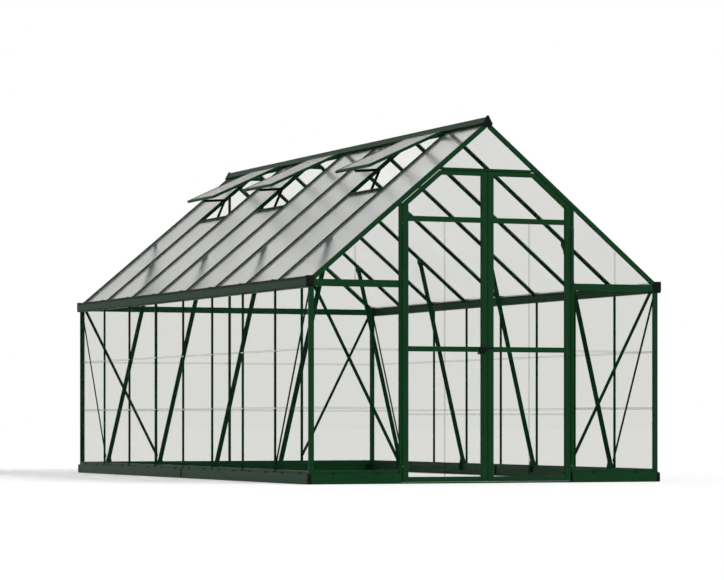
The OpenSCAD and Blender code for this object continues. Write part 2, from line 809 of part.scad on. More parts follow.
module wall_sheets_right() {
    x = half_w + sheet_mid - wall_sheet / 2;
    color(clear_tint) for (i = [0:bays - 1], j = [0:2])
        translate([x, sheet_lo(i, half_l, gable_in), level_lo(j)])
            cube([wall_sheet, sheet_hi(i, bays, half_l, gable_in) - sheet_lo(i, half_l, gable_in),
                level_hi(j, eave_z) - level_lo(j)]);
}

module wall_sheets_left() {
    mirror([1, 0, 0]) wall_sheets_right();
}

// Notches in the gable sheets' upper corners, where the gutters pass over them
module gutter_notches() {
    both_sides() translate([half_w - wall_in - fit, -far, eave_z - fit])
        cube([4 * tuck, 2 * far, gutter_h]);
}

module wall_sheets_back() {
    color(clear_tint) difference() {
        for (i = [0:3], j = [0:2])
            translate([sheet_lo(i, half_w, wall_in), half_l + sheet_mid - wall_sheet / 2, level_lo(j)])
                cube([sheet_hi(i, 4, half_w, wall_in) - sheet_lo(i, half_w, wall_in), wall_sheet,
                    level_hi(j, tie_z) - level_lo(j)]);
        gutter_notches();
    }
}

module wall_sheets_front() {
    color(clear_tint) difference() {
        both_sides() for (j = [0:2])
            translate([jamb_out_x - tuck, -(half_l + sheet_mid + wall_sheet / 2), level_lo(j)])
                cube([half_w - wall_in + 2 * tuck - jamb_out_x, wall_sheet,
                    level_hi(j, tie_z) - level_lo(j)]);
        gutter_notches();
    }
}

// Gable sheet between two distances from the middle, over height z0
module gable_sheet(x0, x1, z0) {
    y = half_l + sheet_mid;
    drop = rafter_d - tuck;
    along_y(y - wall_sheet / 2, y + wall_sheet / 2) intersection() {
        polygon([[x0, z0], [x1, z0], [x1, roof_z(x1, drop)], [x0, roof_z(x0, drop)]]);
        translate([x0, z0 - 1]) square([x1 - x0, apex_z - rafter_d / cos(pitch) - z0]);
    }
}

module gable_sheets_back() {
    x = web_t / 2 + edge_gap;
    color(clear_tint) both_sides() {
        gable_sheet(x, bay - x, tie_top - tuck + 1);
        gable_sheet(bay + x, half_w - wall_in - tuck, tie_top - tuck + 1);
    }
}

module gable_sheets_front() {
    z = header_z + header_h - tuck + 1;
    color(clear_tint) mirror([0, 1, 0]) {
        both_sides() gable_sheet(0, roof_x(z, rafter_d - tuck) - 1, z);
        both_sides() gable_sheet(jamb_out_x - tuck, half_w - wall_in - tuck, tie_top - tuck + 1);
    }
}

sheet_top_n = -cap_t - fit;
sill_lo = vent_end_s - 10;
sill_hi = sill_lo + 20;

module roof_sheet_at(i, s0) {
    y = sheet_lo(i, half_l, gable_in);
    on_slope() translate([s0, y, sheet_top_n - roof_sheet])
        cube([eave_s - 6 - s0, sheet_hi(i, bays, half_l, gable_in) - y, roof_sheet]);
}

module roof_sheets_right() {
    color(roof_tint) for (i = [0:bays - 1]) roof_sheet_at(i, 24);
}

module roof_sheets_left() {
    color(roof_tint) mirror([1, 0, 0]) for (i = [0:bays - 1]) {
        vented = search(bays - i, vent_bays) != [];
        roof_sheet_at(i, vented ? sill_hi - tuck : 24);
    }
}

// Clear H-shaped strips that join the wall sheets
module joiner_section() {
    h = 7;
    a = wall_sheet / 2 + fit;
    b = a + 1.2;
    polygon([[-b, -h], [-a, -h], [-a, -1], [a, -1], [a, -h], [b, -h], [b, h], [a, h], [a, 1], [-a, 1],
        [-a, h], [-b, h]]);
}

module sheet_joiners() {
    color(clear_tint) for (z = [joint_low, joint_high]) {
        both_sides() for (i = [0:bays - 1])
            along_y(view_lo(i, half_l, gable_in, bar_w), view_hi(i, bays, half_l, gable_in, bar_w))
                translate([half_w + sheet_mid, z]) joiner_section();
        for (i = [0:3])
            along_x(view_lo(i, half_w, wall_in, gable_bar_w), view_hi(i, 4, half_w, wall_in, gable_bar_w))
                translate([half_l + sheet_mid, z]) joiner_section();
        both_sides() mirror([0, 1, 0])
            along_x(jamb_out_x + 0.5, half_w - wall_in - 0.5)
                translate([half_l + sheet_mid, z]) joiner_section();
    }
}

// Doors, drawn for the left leaf

// Section of a leaf bar: u across from 0 to w, v = 0 on the front face
module leaf_section(w, groove_lo, groove_hi) {
    difference() {
        polygon([[0, bevel], [bevel, 0], [w - bevel, 0], [w, bevel], [w, leaf_t], [0, leaf_t]]);
        if (groove_lo) translate([-1, leaf_t / 2 - wall_groove / 2]) square([tuck + 2, wall_groove]);
        if (groove_hi) translate([w - tuck - 1, leaf_t / 2 - wall_groove / 2])
            square([tuck + 2, wall_groove]);
        if (w > 2 * tuck + 18)
            translate([tuck + 3, 4]) square([w - 2 * tuck - 6, leaf_t - 8]);
    }
}

// A level rail between the stiles
module leaf_rail(z, w, groove_lo, groove_hi) {
    translate([-meet_x - stile_w - seam, leaf_front, z]) rotate([0, -90, 0])
        linear_extrude(leaf_x - meet_x - 2 * stile_w - 2 * seam)
            leaf_section(w, groove_lo, groove_hi);
}

// Keeps the part of a bar that lies in one region of the leaf's drawing
module in_region(points) {
    intersection() {
        children();
        along_y(leaf_front - 1, leaf_front + leaf_t + 1) polygon(points);
    }
}

// The leaf's bars without the meeting stile; their mitres leave a hairline seam
module leaf_frame() {
    corner_out = [-roof_x(leaf_top, outer_drop), leaf_top];
    corner_in = [-roof_x(leaf_top - top_rail_w, inner_drop), leaf_top - top_rail_w];
    stile_in = stile_w - leaf_x;
    slope_x0 = stile_in + seam;
    gap = [seam, 0];
    in_region([[-leaf_x, leaf_z], [stile_in, leaf_z], [stile_in, roof_z(stile_in, outer_drop)],
        [-leaf_x, roof_z(leaf_x, outer_drop)]])
        translate([-leaf_x, leaf_front, 0]) linear_extrude(apex_z) leaf_section(stile_w, false, true);
    in_region([[slope_x0, roof_z(slope_x0, outer_drop)], corner_out - gap, corner_in - gap,
        [slope_x0, roof_z(slope_x0, inner_drop)]])
        translate([0, leaf_front, roof_z(0, outer_drop)]) rotate([0, -pitch, 0])
            translate([0, 0, -top_rail_w]) rotate([0, -90, 0])
                linear_extrude(half_w) leaf_section(top_rail_w, true, false);
    in_region([corner_out + gap, [-meet_x - stile_w - seam, leaf_top],
        [-meet_x - stile_w - seam, leaf_top - top_rail_w], corner_in + gap])
        translate([0, leaf_front, leaf_top - top_rail_w]) rotate([0, -90, 0])
            linear_extrude(half_w) leaf_section(top_rail_w, true, false);
    leaf_rail(upper_rail_z, mid_rail_w, true, true);
    leaf_rail(mid_rail_z, mid_rail_w, true, true);
    leaf_rail(leaf_z, bottom_rail_w, false, true);
}

module meeting_stile() {
    translate([-meet_x - stile_w, leaf_front, leaf_z]) linear_extrude(leaf_top - leaf_z)
        leaf_section(stile_w, true, false);
}

case_h = 60;
case_x0 = -meet_x - stile_w + tuck + 3.2;
case_x1 = -meet_x - tuck - 3.2;
bolt_h = 10;
bolt_t = 6;
slide_fit = 0.3;

module left_door_frame() {
    color(green) {
        leaf_frame();
        difference() {
            meeting_stile();
            translate([-spindle_x, leaf_front - 1, handle_z]) rotate([-90, 0, 0])
                cylinder(h = leaf_t + 2, r = spindle_r + 0.5);
            translate([case_x1 - 1, leaf_mid - bolt_t / 2 - slide_fit, handle_z - bolt_h / 2 - slide_fit])
                cube([tuck + 10, bolt_t + 2 * slide_fit, bolt_h + 2 * slide_fit]);
        }
    }
}

pocket_d = bolt_throw + 3;

module right_door_frame() {
    color(green) {
        mirror([1, 0, 0]) leaf_frame();
        difference() {
            mirror([1, 0, 0]) meeting_stile();
            translate([meet_x - 1, leaf_mid - bolt_t / 2 - 2.2, handle_z - bolt_h / 2 - 2.2])
                cube([pocket_d + 3.2, bolt_t + 4.4, bolt_h + 4.4]);
        }
    }
}

// Door sheets: two side by side in each of the lower panes, one over the upper rail
module leaf_sheets() {
    x0 = -leaf_x + stile_w - tuck;
    x1 = -meet_x - stile_w + tuck;
    xm = (x0 + x1) / 2;
    y0 = leaf_mid - wall_sheet / 2;
    y1 = leaf_mid + wall_sheet / 2;
    levels = [[leaf_z + bottom_rail_w - tuck, leaf_joint - 0.3], [leaf_joint + 0.3, mid_rail_z + tuck],
        [mid_rail_z + mid_rail_w - tuck, upper_rail_z + tuck]];
    for (l = levels, side = [[x0, xm - 0.3], [xm + 0.3, x1]])
        along_y(y0, y1) translate([side[0], l[0]]) square([side[1] - side[0], l[1] - l[0]]);
    drop = inner_drop - tuck;
    top = leaf_top - top_rail_w + tuck;
    along_y(y0, y1) polygon([[x0, upper_rail_z + mid_rail_w - tuck], [x1, upper_rail_z + mid_rail_w - tuck],
        [x1, top], [-roof_x(top, drop), top], [x0, roof_z(x0, drop)]]);
}

module left_door_sheets() {
    color(clear_tint) leaf_sheets();
}

module right_door_sheets() {
    color(clear_tint) mirror([1, 0, 0]) leaf_sheets();
}

knuckle_h = (hinge_hi - hinge_lo) / knuckles;

// One knuckle with its tab; side is 1 for a tab towards the leaf and -1 towards the jamb
module knuckle(i, side) {
    z = hinge_lo + i * knuckle_h + knuckle_gap / 2;
    translate([-hinge_x, hinge_y, z]) linear_extrude(knuckle_h - knuckle_gap) difference() {
        union() {
            circle(barrel_r);
            mirror([side > 0 ? 0 : 1, 0]) translate([0, barrel_r - plate_t]) square([8, plate_t]);
        }
        circle(pin_r + 0.05);
    }
}

module hinge_plate(x0) {
    translate([x0, leaf_front - plate_t, hinge_lo]) cube([10, plate_t, hinge_hi - hinge_lo]);
}

module jamb_hinges() {
    color(green) both_sides() {
        for (i = [0:2:knuckles - 1]) knuckle(i, -1);
        hinge_plate(-hinge_x - 18);
    }
}

module leaf_hinge() {
    for (i = [1:2:knuckles - 1]) knuckle(i, 1);
    hinge_plate(-hinge_x + 8);
}

module left_door_hinge() {
    color(green) leaf_hinge();
}

module right_door_hinge() {
    color(green) mirror([1, 0, 0]) leaf_hinge();
}

module hinge_pins() {
    color(steel) both_sides() translate([-hinge_x, hinge_y, hinge_lo - 3]) {
        cylinder(h = hinge_hi - hinge_lo + 6, r = pin_r);
        cylinder(h = 3.2, r = pin_r + 1.2);
    }
}

// Two roses and the case in the stile that guides the bolt
module latch_case() {
    color(black) {
        for (y = [leaf_front - rose_t, leaf_front + leaf_t])
            translate([-spindle_x, y, handle_z]) rotate([-90, 0, 0]) difference() {
                cylinder(h = rose_t, r = rose_r);
                translate([0, 0, -1]) cylinder(h = rose_t + 2, r = spindle_r + 0.05);
            }
        difference() {
            translate([case_x0, leaf_front + 4.2, handle_z - case_h / 2])
                cube([case_x1 - case_x0, leaf_t - 8.4, case_h]);
            translate([-spindle_x, leaf_front, handle_z]) rotate([-90, 0, 0])
                cylinder(h = leaf_t, r = spindle_r + 0.05);
            translate([-spindle_x, leaf_mid - bolt_t / 2 - slide_fit, handle_z - bolt_h / 2 - slide_fit])
                cube([spindle_x, bolt_t + 2 * slide_fit, bolt_h + 2 * slide_fit]);
        }
    }
}

// Outer lever in (x, z) about the spindle: a shank, a broad drop end and a curl
module lever_outline() {
    tip = -lever_len;
    curl = [tip - 4, -27];
    shank = [for (t = [0:0.125:0.875]) [(tip + 6) * t, 9 + 4 * t]];
    shoulder = [for (a = [90:15:180]) [tip + 7 + 7 * cos(a), 6 + 7 * sin(a)]];
    heel = [for (a = [180:15:270]) [tip + 6 + 6 * cos(a), -28 + 6 * sin(a)]];
    toe = [for (a = [270:15:360]) [tip + 31 + 7 * cos(a), -27 + 7 * sin(a)]];
    polygon(concat(shank, shoulder, heel, toe, [[tip + 38, -12], [-10, -9], [0, -9]]));
    circle(10);
    translate(curl) difference() {
        circle(8);
        circle(3);
    }
}

// Outline of the straight lever on the inner side
module lever_bar() {
    tip = -lever_len - 6;
    polygon([[0, 9], [tip + 4, 8], [tip, 4], [tip, -4], [tip + 4, -8], [0, -9]]);
    circle(10);
}

module door_levers() {
    y_out = leaf_front - lever_off;
    y_in = leaf_front + leaf_t + lever_off;
    turn = [-90, 0, 0];
    color(black) {
        translate([-spindle_x, 0, handle_z]) along_y(y_out - 5, y_out + 5) lever_outline();
        translate([-spindle_x, y_out, handle_z]) rotate(turn)
            cylinder(h = y_in - y_out - 24, r = spindle_r);
        translate([-spindle_x, y_out, handle_z]) rotate(turn)
            cylinder(h = lever_off - rose_t - 0.4, r = 9);
        translate([-spindle_x, 0, handle_z]) along_y(y_in - 5, y_in + 5) lever_bar();
        translate([-spindle_x, leaf_front + leaf_t + rose_t + 0.4, handle_z]) rotate(turn)
            difference() {
                cylinder(h = lever_off - rose_t - 0.4, r = 9);
                translate([0, 0, -1]) cylinder(h = lever_off - rose_t - 22, r = spindle_r);
            }
    }
}

module latch_bolt() {
    x0 = -spindle_x + spindle_r + 1;
    color(steel) translate([x0, leaf_mid - bolt_t / 2, handle_z - bolt_h / 2])
        cube([-meet_x - 0.5 - x0, bolt_t, bolt_h]);
}

// Strike in the right stile, with the plate that shows on the stile's face
module latch_keeper() {
    w = 2;
    color(black) {
        difference() {
            translate([meet_x, leaf_mid - bolt_t / 2 - w, handle_z - bolt_h / 2 - w])
                cube([pocket_d + w, bolt_t + 2 * w, bolt_h + 2 * w]);
            translate([meet_x - 1, leaf_mid - bolt_t / 2 - slide_fit - 0.4,
                handle_z - bolt_h / 2 - slide_fit - 0.4])
                cube([pocket_d + 1, bolt_t + 2 * slide_fit + 0.8, bolt_h + 2 * slide_fit + 0.8]);
        }
        translate([meet_x + 1, leaf_front - 3, handle_z + 1]) cube([stile_w - 7, 2.9, 12]);
    }
}

// Vents, drawn in slope coordinates of the right slope as if closed

vent_w = bay - vent_side;
vent_lo_s = hinge_s + 11;
vent_bottom_n = 1;
vent_groove = roof_sheet + 2 * fit;
vent_lip = 3;
vent_groove_n = vent_bottom_n + vent_t - vent_lip - vent_groove;

function vent_y(v) = half_l - (vent_bays[v] - 0.5) * bay;
hinge_pt = slope_point(hinge_s, hinge_rise);
sill_pivot_sn = [sill_lo - 12, -33];
leaf_pivot_sn = [sill_lo - 11, -12];
sill_pivot = slope_point(sill_pivot_sn.x, sill_pivot_sn.y);
leaf_pivot = hinge_pt + turned(slope_point(leaf_pivot_sn.x, leaf_pivot_sn.y) - hinge_pt, vent_open);
stay_span = leaf_pivot - sill_pivot;
stay_rise = sqrt(pow(arm_len, 2) - pow(norm(stay_span) / 2, 2)) / norm(stay_span);
elbow = (leaf_pivot + sill_pivot) / 2 + stay_rise * [-stay_span.y, stay_span.x];
eye_r = 9.5;
arm_w = 18;

// Opens the children about the vent hinge and puts them on the left slope
module opened(v) {
    mirror([1, 0, 0]) translate([hinge_pt.x, vent_y(v), hinge_pt.y]) rotate([0, -vent_open, 0])
        translate([-hinge_pt.x, 0, -hinge_pt.y]) on_slope() children();
}

// Section of a vent bar: u from 0 on its outer edge, v from 0 on its underside
module vent_section() {
    difference() {
        polygon([[0, 0], [vent_bar_w, 0], [vent_bar_w, vent_t], [bevel, vent_t], [0, vent_t - bevel]]);
        translate([vent_bar_w - tuck - 1, vent_t - vent_lip - vent_groove])
            square([tuck + 2, vent_groove]);
    }
}

module vent_frame(v) {
    y = vent_w / 2;
    n = vent_bottom_n;
    b = leaf_pivot_sn;
    color(green) opened(v) {
        both_ends() translate([vent_lo_s, y, n]) rotate([90, 0, 90]) mirror([1, 0, 0])
            linear_extrude(vent_end_s - vent_lo_s) vent_section();
        translate([vent_end_s, y - vent_bar_w, n]) rotate([90, 0, 0]) mirror([1, 0, 0])
            linear_extrude(2 * (y - vent_bar_w)) vent_section();
        translate([0, y - vent_bar_w, 0]) rotate([90, 0, 0]) linear_extrude(2 * (y - vent_bar_w)) {
            translate([vent_lo_s, n]) vent_section();
            translate([hinge_s, hinge_rise]) {
                circle(bead_r);
                translate([0, -1.2]) square([vent_lo_s - hinge_s + 1, 2.4]);
            }
        }
    }
    color(black) opened(v) {
        translate([0, 10, 0]) rotate([90, 0, 0]) linear_extrude(4) polygon([
            [b.x - 8, vent_groove_n - 0.5], [vent_end_s - vent_bar_w - 0.1, vent_groove_n - 0.5],
            [vent_end_s - vent_bar_w - 0.1, vent_bottom_n - 0.1], [sill_lo - 2, vent_bottom_n - 0.1],
            [sill_lo - 3, b.y], [b.x + 6, b.y - 7], [b.x - 6, b.y - 7], [b.x - 9, b.y]]);
        translate([b.x, 6.1, b.y]) rotate([90, 0, 0]) cylinder(h = 6, r = stay_pin_r - 0.5, $fn = 32);
        translate([b.x, 0.8, b.y]) rotate([90, 0, 0]) cylinder(h = 0.8, r = 8, $fn = 32);
    }
}

module vent_sheet(v) {
    s0 = vent_lo_s + vent_bar_w - tuck;
    s1 = vent_end_s - vent_bar_w + tuck;
    y = vent_w / 2 - vent_bar_w + tuck;
    color(roof_tint) opened(v) translate([s0, -y, vent_groove_n + fit])
        cube([s1 - s0, 2 * y, roof_sheet]);
}

module arm_outline(a, b, bore_a, bore_b, r_b) {
    len = norm(b - a);
    translate(a) rotate(atan2(b.y - a.y, b.x - a.x)) difference() {
        union() {
            circle(eye_r);
            translate([0, -arm_w / 2]) square([len, arm_w]);
            translate([len, 0]) circle(r_b);
        }
        circle(bore_a);
        translate([len, 0]) circle(bore_b);
    }
}

module lower_arm(v) {
    color(black) mirror([1, 0, 0]) translate([0, vent_y(v), 0]) {
        along_y(-5, -1) arm_outline(sill_pivot, elbow, stay_pin_r + 0.06, 0.01, eye_r);
        along_y(-5, 6.4) translate(elbow) circle(stay_pin_r, $fn = 32);
        along_y(5.4, 6.6) translate(elbow) circle(eye_r - 1, $fn = 32);
    }
}

module upper_arm(v) {
    slack_r = stay_pin_r - 0.5 + eye_slack;
    color(black) mirror([1, 0, 0]) translate([0, vent_y(v), 0]) along_y(1, 5)
        arm_outline(elbow, leaf_pivot, stay_pin_r + 0.06, slack_r, slack_r + 3);
}

// Bars under the vents' lower edges, each with the foot and pin of its stay
module vent_sills() {
    y = (bay - bar_w) / 2 - 0.2;
    p = sill_pivot_sn;
    g = -cap_t - roof_groove;
    for (v = [0:2]) mirror([1, 0, 0]) translate([0, vent_y(v), 0]) on_slope() {
        color(green) translate([0, y, 0]) rotate([90, 0, 0]) linear_extrude(2 * y) difference() {
            polygon([[sill_lo, -2], [sill_lo + 2, 0], [sill_hi - 2, 0], [sill_hi, -2],
                [sill_hi, -roof_bar_d], [sill_lo, -roof_bar_d]]);
            translate([sill_hi - tuck - 1, g]) square([tuck + 2, roof_groove]);
        }
        color(black) {
            translate([0, -6, 0]) rotate([90, 0, 0]) linear_extrude(4)
                polygon([[sill_lo - 0.1, -6], [sill_lo - 0.1, -roof_bar_d], [p.x + 4, p.y - 9],
                    [p.x - 5, p.y - 7], [p.x - 8, p.y], [p.x - 3, p.y + 9]]);
            translate([p.x, -0.6, p.y]) rotate([90, 0, 0])
                cylinder(h = 7, r = stay_pin_r, $fn = 32);
            translate([p.x, 0.3, p.y]) rotate([90, 0, 0]) cylinder(h = 1, r = 5, $fn = 32);
        }
    }
}

base_side_rails();
base_end_rails();
base_corner_caps();
base_splices();
base_clips();
door_threshold();
corner_posts();
side_mullions();
back_mullions();
door_jambs();
gable_ties();
door_header();
gutter_left();
gutter_right();
gutter_end_caps();
eave_seals();
gable_rafters();
roof_bars_left();
roof_bars_right();
roof_bar_clips();
ridge_profile();
ridge_end_caps();
ridge_gussets();
wall_braces();
brace_brackets();
wall_diagonals();
wall_sheets_left();
wall_sheets_right();
wall_sheets_back();
wall_sheets_front();
gable_sheets_front();
gable_sheets_back();
roof_sheets_left();
roof_sheets_right();
sheet_joiners();
vent_sills();
jamb_hinges();
hinge_pins();
left_door_frame();
left_door_sheets();
left_door_hinge();
latch_case();
door_levers();
latch_bolt();
right_door_frame();
right_door_sheets();
right_door_hinge();
latch_keeper();
vent_frame(0);  // vent_1_frame
vent_sheet(0);  // vent_1_sheet
lower_arm(0);  // vent_1_lower_arm
upper_arm(0);  // vent_1_upper_arm
vent_frame(1);  // vent_2_frame
vent_sheet(1);  // vent_2_sheet
lower_arm(1);  // vent_2_lower_arm
upper_arm(1);  // vent_2_upper_arm
vent_frame(2);  // vent_3_frame
vent_sheet(2);  // vent_3_sheet
lower_arm(2);  // vent_3_lower_arm
upper_arm(2);  // vent_3_upper_arm
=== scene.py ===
"""Studio scene of a gabled polycarbonate greenhouse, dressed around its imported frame.

Metres, with X to the right of someone who faces the doors, Y to the back and Z up.
"""

import json
import logging
import math
from dataclasses import dataclass, field
from enum import Enum
from typing import Any, Iterable, Sequence

import bmesh
import bpy
from mathutils import Matrix, Vector

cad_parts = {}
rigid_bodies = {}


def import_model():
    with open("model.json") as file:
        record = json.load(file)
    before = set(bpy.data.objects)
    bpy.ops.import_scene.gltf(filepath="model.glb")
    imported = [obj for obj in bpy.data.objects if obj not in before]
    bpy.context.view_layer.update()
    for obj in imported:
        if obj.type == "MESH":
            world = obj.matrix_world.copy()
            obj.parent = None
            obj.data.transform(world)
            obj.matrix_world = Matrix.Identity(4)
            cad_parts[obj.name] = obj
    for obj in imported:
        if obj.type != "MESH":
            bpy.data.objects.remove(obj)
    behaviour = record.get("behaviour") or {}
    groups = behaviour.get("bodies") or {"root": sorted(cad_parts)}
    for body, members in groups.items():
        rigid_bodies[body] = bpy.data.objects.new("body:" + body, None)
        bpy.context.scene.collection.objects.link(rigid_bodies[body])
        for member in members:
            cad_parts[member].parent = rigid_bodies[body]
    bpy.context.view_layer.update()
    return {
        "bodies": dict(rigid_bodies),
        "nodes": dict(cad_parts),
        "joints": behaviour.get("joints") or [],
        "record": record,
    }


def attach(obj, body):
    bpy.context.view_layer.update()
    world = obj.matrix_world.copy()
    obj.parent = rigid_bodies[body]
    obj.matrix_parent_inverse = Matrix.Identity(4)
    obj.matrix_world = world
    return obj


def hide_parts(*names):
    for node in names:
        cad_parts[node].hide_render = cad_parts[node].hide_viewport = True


LOG = logging.getLogger("greenhouse")
NOISE_GAIN = 0.55  # how much each octave of a noise weighs
NOISE_RANGE = (0.3, 0.7)  # where nearly all values of a noise lie

Colour = tuple[float, float, float]
Point = tuple[float, float, float]
Step = tuple[int, float, float, float]
Socket = bpy.types.NodeSocket
Solid = bmesh.types.BMesh

# Small turned parts, as rods on one spot: sides, foot and top in head radii, height in metres.
BOLT: tuple[Step, ...] = ((14, 1.65, 1.6, 0.0010), (6, 1.0, 0.96, 0.0042), (10, 0.5, 0.4, 0.0052))
SCREW: tuple[Step, ...] = ((14, 1.0, 0.8, 0.0012), (10, 0.8, 0.45, 0.0020))


class Finish(Enum):
    """A look, with the record's material slot that it belongs to and a name of its own."""

    GREEN = ("green_frame", "satin")
    # Painted shade: the frame's green darkened for the bars inside the house.
    DULL_GREEN = ("green_frame", "matt_painted_shade")
    SHEEN_GREEN = ("green_frame", "sheen")
    BLACK_PLASTIC = ("black_plastic", "grained")
    BLACK_METAL = ("black_metal", "painted")
    CLEAR = ("clear_sheet", "sheet")
    CLEAR_STRIP = ("clear_sheet", "strip")
    # Painted glint: a pale strip colour for the glint of the clear joiners over the bars.
    FROSTED_STRIP = ("clear_sheet", "painted_glint")
    ROOF = ("roof_sheet", "twin wall")
    # Painted reflection: a lighter copy of the roof sheet for the bright sky that the vents
    # reflect.
    VENT_ROOF = ("roof_sheet", "vent")
    STEEL = ("pin_steel", "plain")

    @property
    def slot(self) -> str:
        """The material slot in the record."""
        return self.value[0]


class Side(Enum):
    """A side of the house, with its sign along X."""

    LEFT = -1
    RIGHT = 1

    @property
    def leaf(self) -> str:
        """The body of the side's door leaf."""
        return f"{self.name.lower()}_door"

    @property
    def mirror(self) -> Matrix:
        """Matrix that puts what is drawn for the right side on this side."""
        return Matrix.Diagonal((self.value, 1, 1, 1))


class NodeTree:
    """A node tree, with short calls that add and join nodes."""

    def __init__(self, owner: bpy.types.Material | bpy.types.World) -> None:
        """Empties a node tree.

        Args:
            owner: The material or world that it belongs to.
        """
        owner.use_nodes = True
        self.tree = owner.node_tree
        self.tree.nodes.clear()

    def add(self, kind: str, **settings: Any) -> bpy.types.Node:
        """Adds a node.

        Args:
            kind: The node's type name.
            **settings: Attributes of the node, or values of the inputs of that name.

        Returns:
            The new node.
        """
        node = self.tree.nodes.new(kind)
        for key, value in settings.items():
            if key in node.inputs:
                node.inputs[key].default_value = value
            else:
                setattr(node, key, value)
        return node

    def join(self, source: Socket, target: Socket) -> None:
        """Links an output to an input."""
        self.tree.links.new(source, target)

    def seen_by(self, *kinds: str) -> Socket:
        """Tells which rays look at a surface.

        Args:
            *kinds: Ray kinds of the light path, such as "Camera".

        Returns:
            1 for rays of these kinds, otherwise 0.
        """
        path = self.add("ShaderNodeLightPath")
        seen = path.outputs[f"Is {kinds[0]} Ray"]
        for kind in kinds[1:]:
            either = self.add("ShaderNodeMath", operation="MAXIMUM")
            self.join(seen, either.inputs[0])
            self.join(path.outputs[f"Is {kind} Ray"], either.inputs[1])
            seen = either.outputs["Value"]
        return seen

    def spread(
        self, value: Socket, low: float, high: float, span: tuple[float, float] = NOISE_RANGE
    ) -> Socket:
        """Maps a range of values to low..high.

        Args:
            value: The value.
            low: Result at the lower end of the range.
            high: Result at its upper end.
            span: The range, by default the usual one of a noise.

        Returns:
            The mapped value.
        """
        node = self.add("ShaderNodeMapRange")
        ends = zip(("From Min", "From Max", "To Min", "To Max"), (*span, low, high))
        for key, number in ends:
            node.inputs[key].default_value = number
        self.join(value, node.inputs["Value"])
        return node.outputs["Result"]


class ShaderTree(NodeTree):
    """The node tree of one material, with the patterns that its finishes share."""

    def __init__(self, name: str) -> None:
        """Starts an empty material.

        Args:
            name: The material's name.
        """
        self.material = bpy.data.materials.new(name)
        super().__init__(self.material)
        self.output = self.add("ShaderNodeOutputMaterial")
        self.place = self.add("ShaderNodeTexCoord").outputs["Object"]

    def done(self, surface: Socket) -> bpy.types.Material:
        """Shows a shader and returns the material."""
        self.join(surface, self.output.inputs["Surface"])
        return self.material

    def mapped(self, scale: Point) -> Socket:
        """Stretches the object's coordinates.

        Args:
            scale: Factors along X, Y and Z.

        Returns:
            The scaled coordinates.
        """
        node = self.add("ShaderNodeMapping", Scale=scale)
        self.join(self.place, node.inputs["Vector"])
        return node.outputs["Vector"]

    def noise(self, scale: float, detail: float = 3.0, stretch: Point = (1, 1, 1)) -> Socket:
        """Adds a noise pattern.

        Args:
            scale: Features per metre.
            detail: Octaves.
            stretch: Factors on the coordinates along X, Y and Z.

        Returns:
            The pattern's value, about 0.5 on average.
        """
        node = self.add("ShaderNodeTexNoise", Scale=scale, Detail=detail, Roughness=NOISE_GAIN)
        self.join(self.mapped(stretch), node.inputs["Vector"])
        return node.outputs["Fac"]

    def tint(self, pattern: Socket, first: Colour, second: Colour) -> Socket:
        """Blends two colours by a pattern.

        Args:
            pattern: The blend's share of the second colour.
            first: Linear colour at 0.
            second: Linear colour at 1.

        Returns:
            The blended colour.
        """
        node = self.add("ShaderNodeMix", data_type="RGBA")
        colours = [socket for socket in node.inputs if socket.type == "RGBA"]
        for socket, colour in zip(colours, (first, second)):
            socket.default_value = (*colour, 1)
        self.join(pattern, node.inputs["Factor"])
        return next(socket for socket in node.outputs if socket.type == "RGBA")

    def relief(self, height: Socket, depth: float, strength: float) -> Socket:
        """Turns a height pattern into a bumped normal.

        Args:
            height: The pattern.
            depth: Height of a full step, in metres.
            strength: Share of the relief that shows.

        Returns:
            The normal.
        """
        node = self.add("ShaderNodeBump", Strength=strength, Distance=depth)
        self.join(height, node.inputs["Height"])
        return node.outputs["Normal"]

    def blend(self, share: float | Socket, first: Socket, second: Socket) -> Socket:
        """Mixes two shaders.

        Args:
            share: The second shader's share.
            first: The first shader.
            second: The second shader.

        Returns:
            The mixed shader.
        """
        mix = self.add("ShaderNodeMixShader")
        fraction, *shaders = mix.inputs
        if isinstance(share, Socket):
            self.join(share, fraction)
        else:
            fraction.default_value = share
        for source, socket in zip((first, second), shaders):
            self.join(source, socket)
        return mix.outputs["Shader"]

    def coated(self, body: Socket, shine: Socket, ior: float) -> Socket:
        """Lays a gloss over a shader, on the outer side of each face.

        Args:
            body: The shader below.
            shine: The gloss.
            ior: Index that sets how the gloss grows towards grazing views.

        Returns:
            The mixed shader.
        """
        edge = self.add("ShaderNodeFresnel", IOR=ior)
        outside = self.add("ShaderNodeMath", operation="SUBTRACT")
        outside.inputs[0].default_value = 1.0
        self.join(self.add("ShaderNodeNewGeometry").outputs["Backfacing"], outside.inputs[1])
        share = self.add("ShaderNodeMath", operation="MULTIPLY")
        self.join(edge.outputs["Fac"], share.inputs[0])
        self.join(outside.outputs["Value"], share.inputs[1])
        return self.blend(share.outputs["Value"], body, shine)


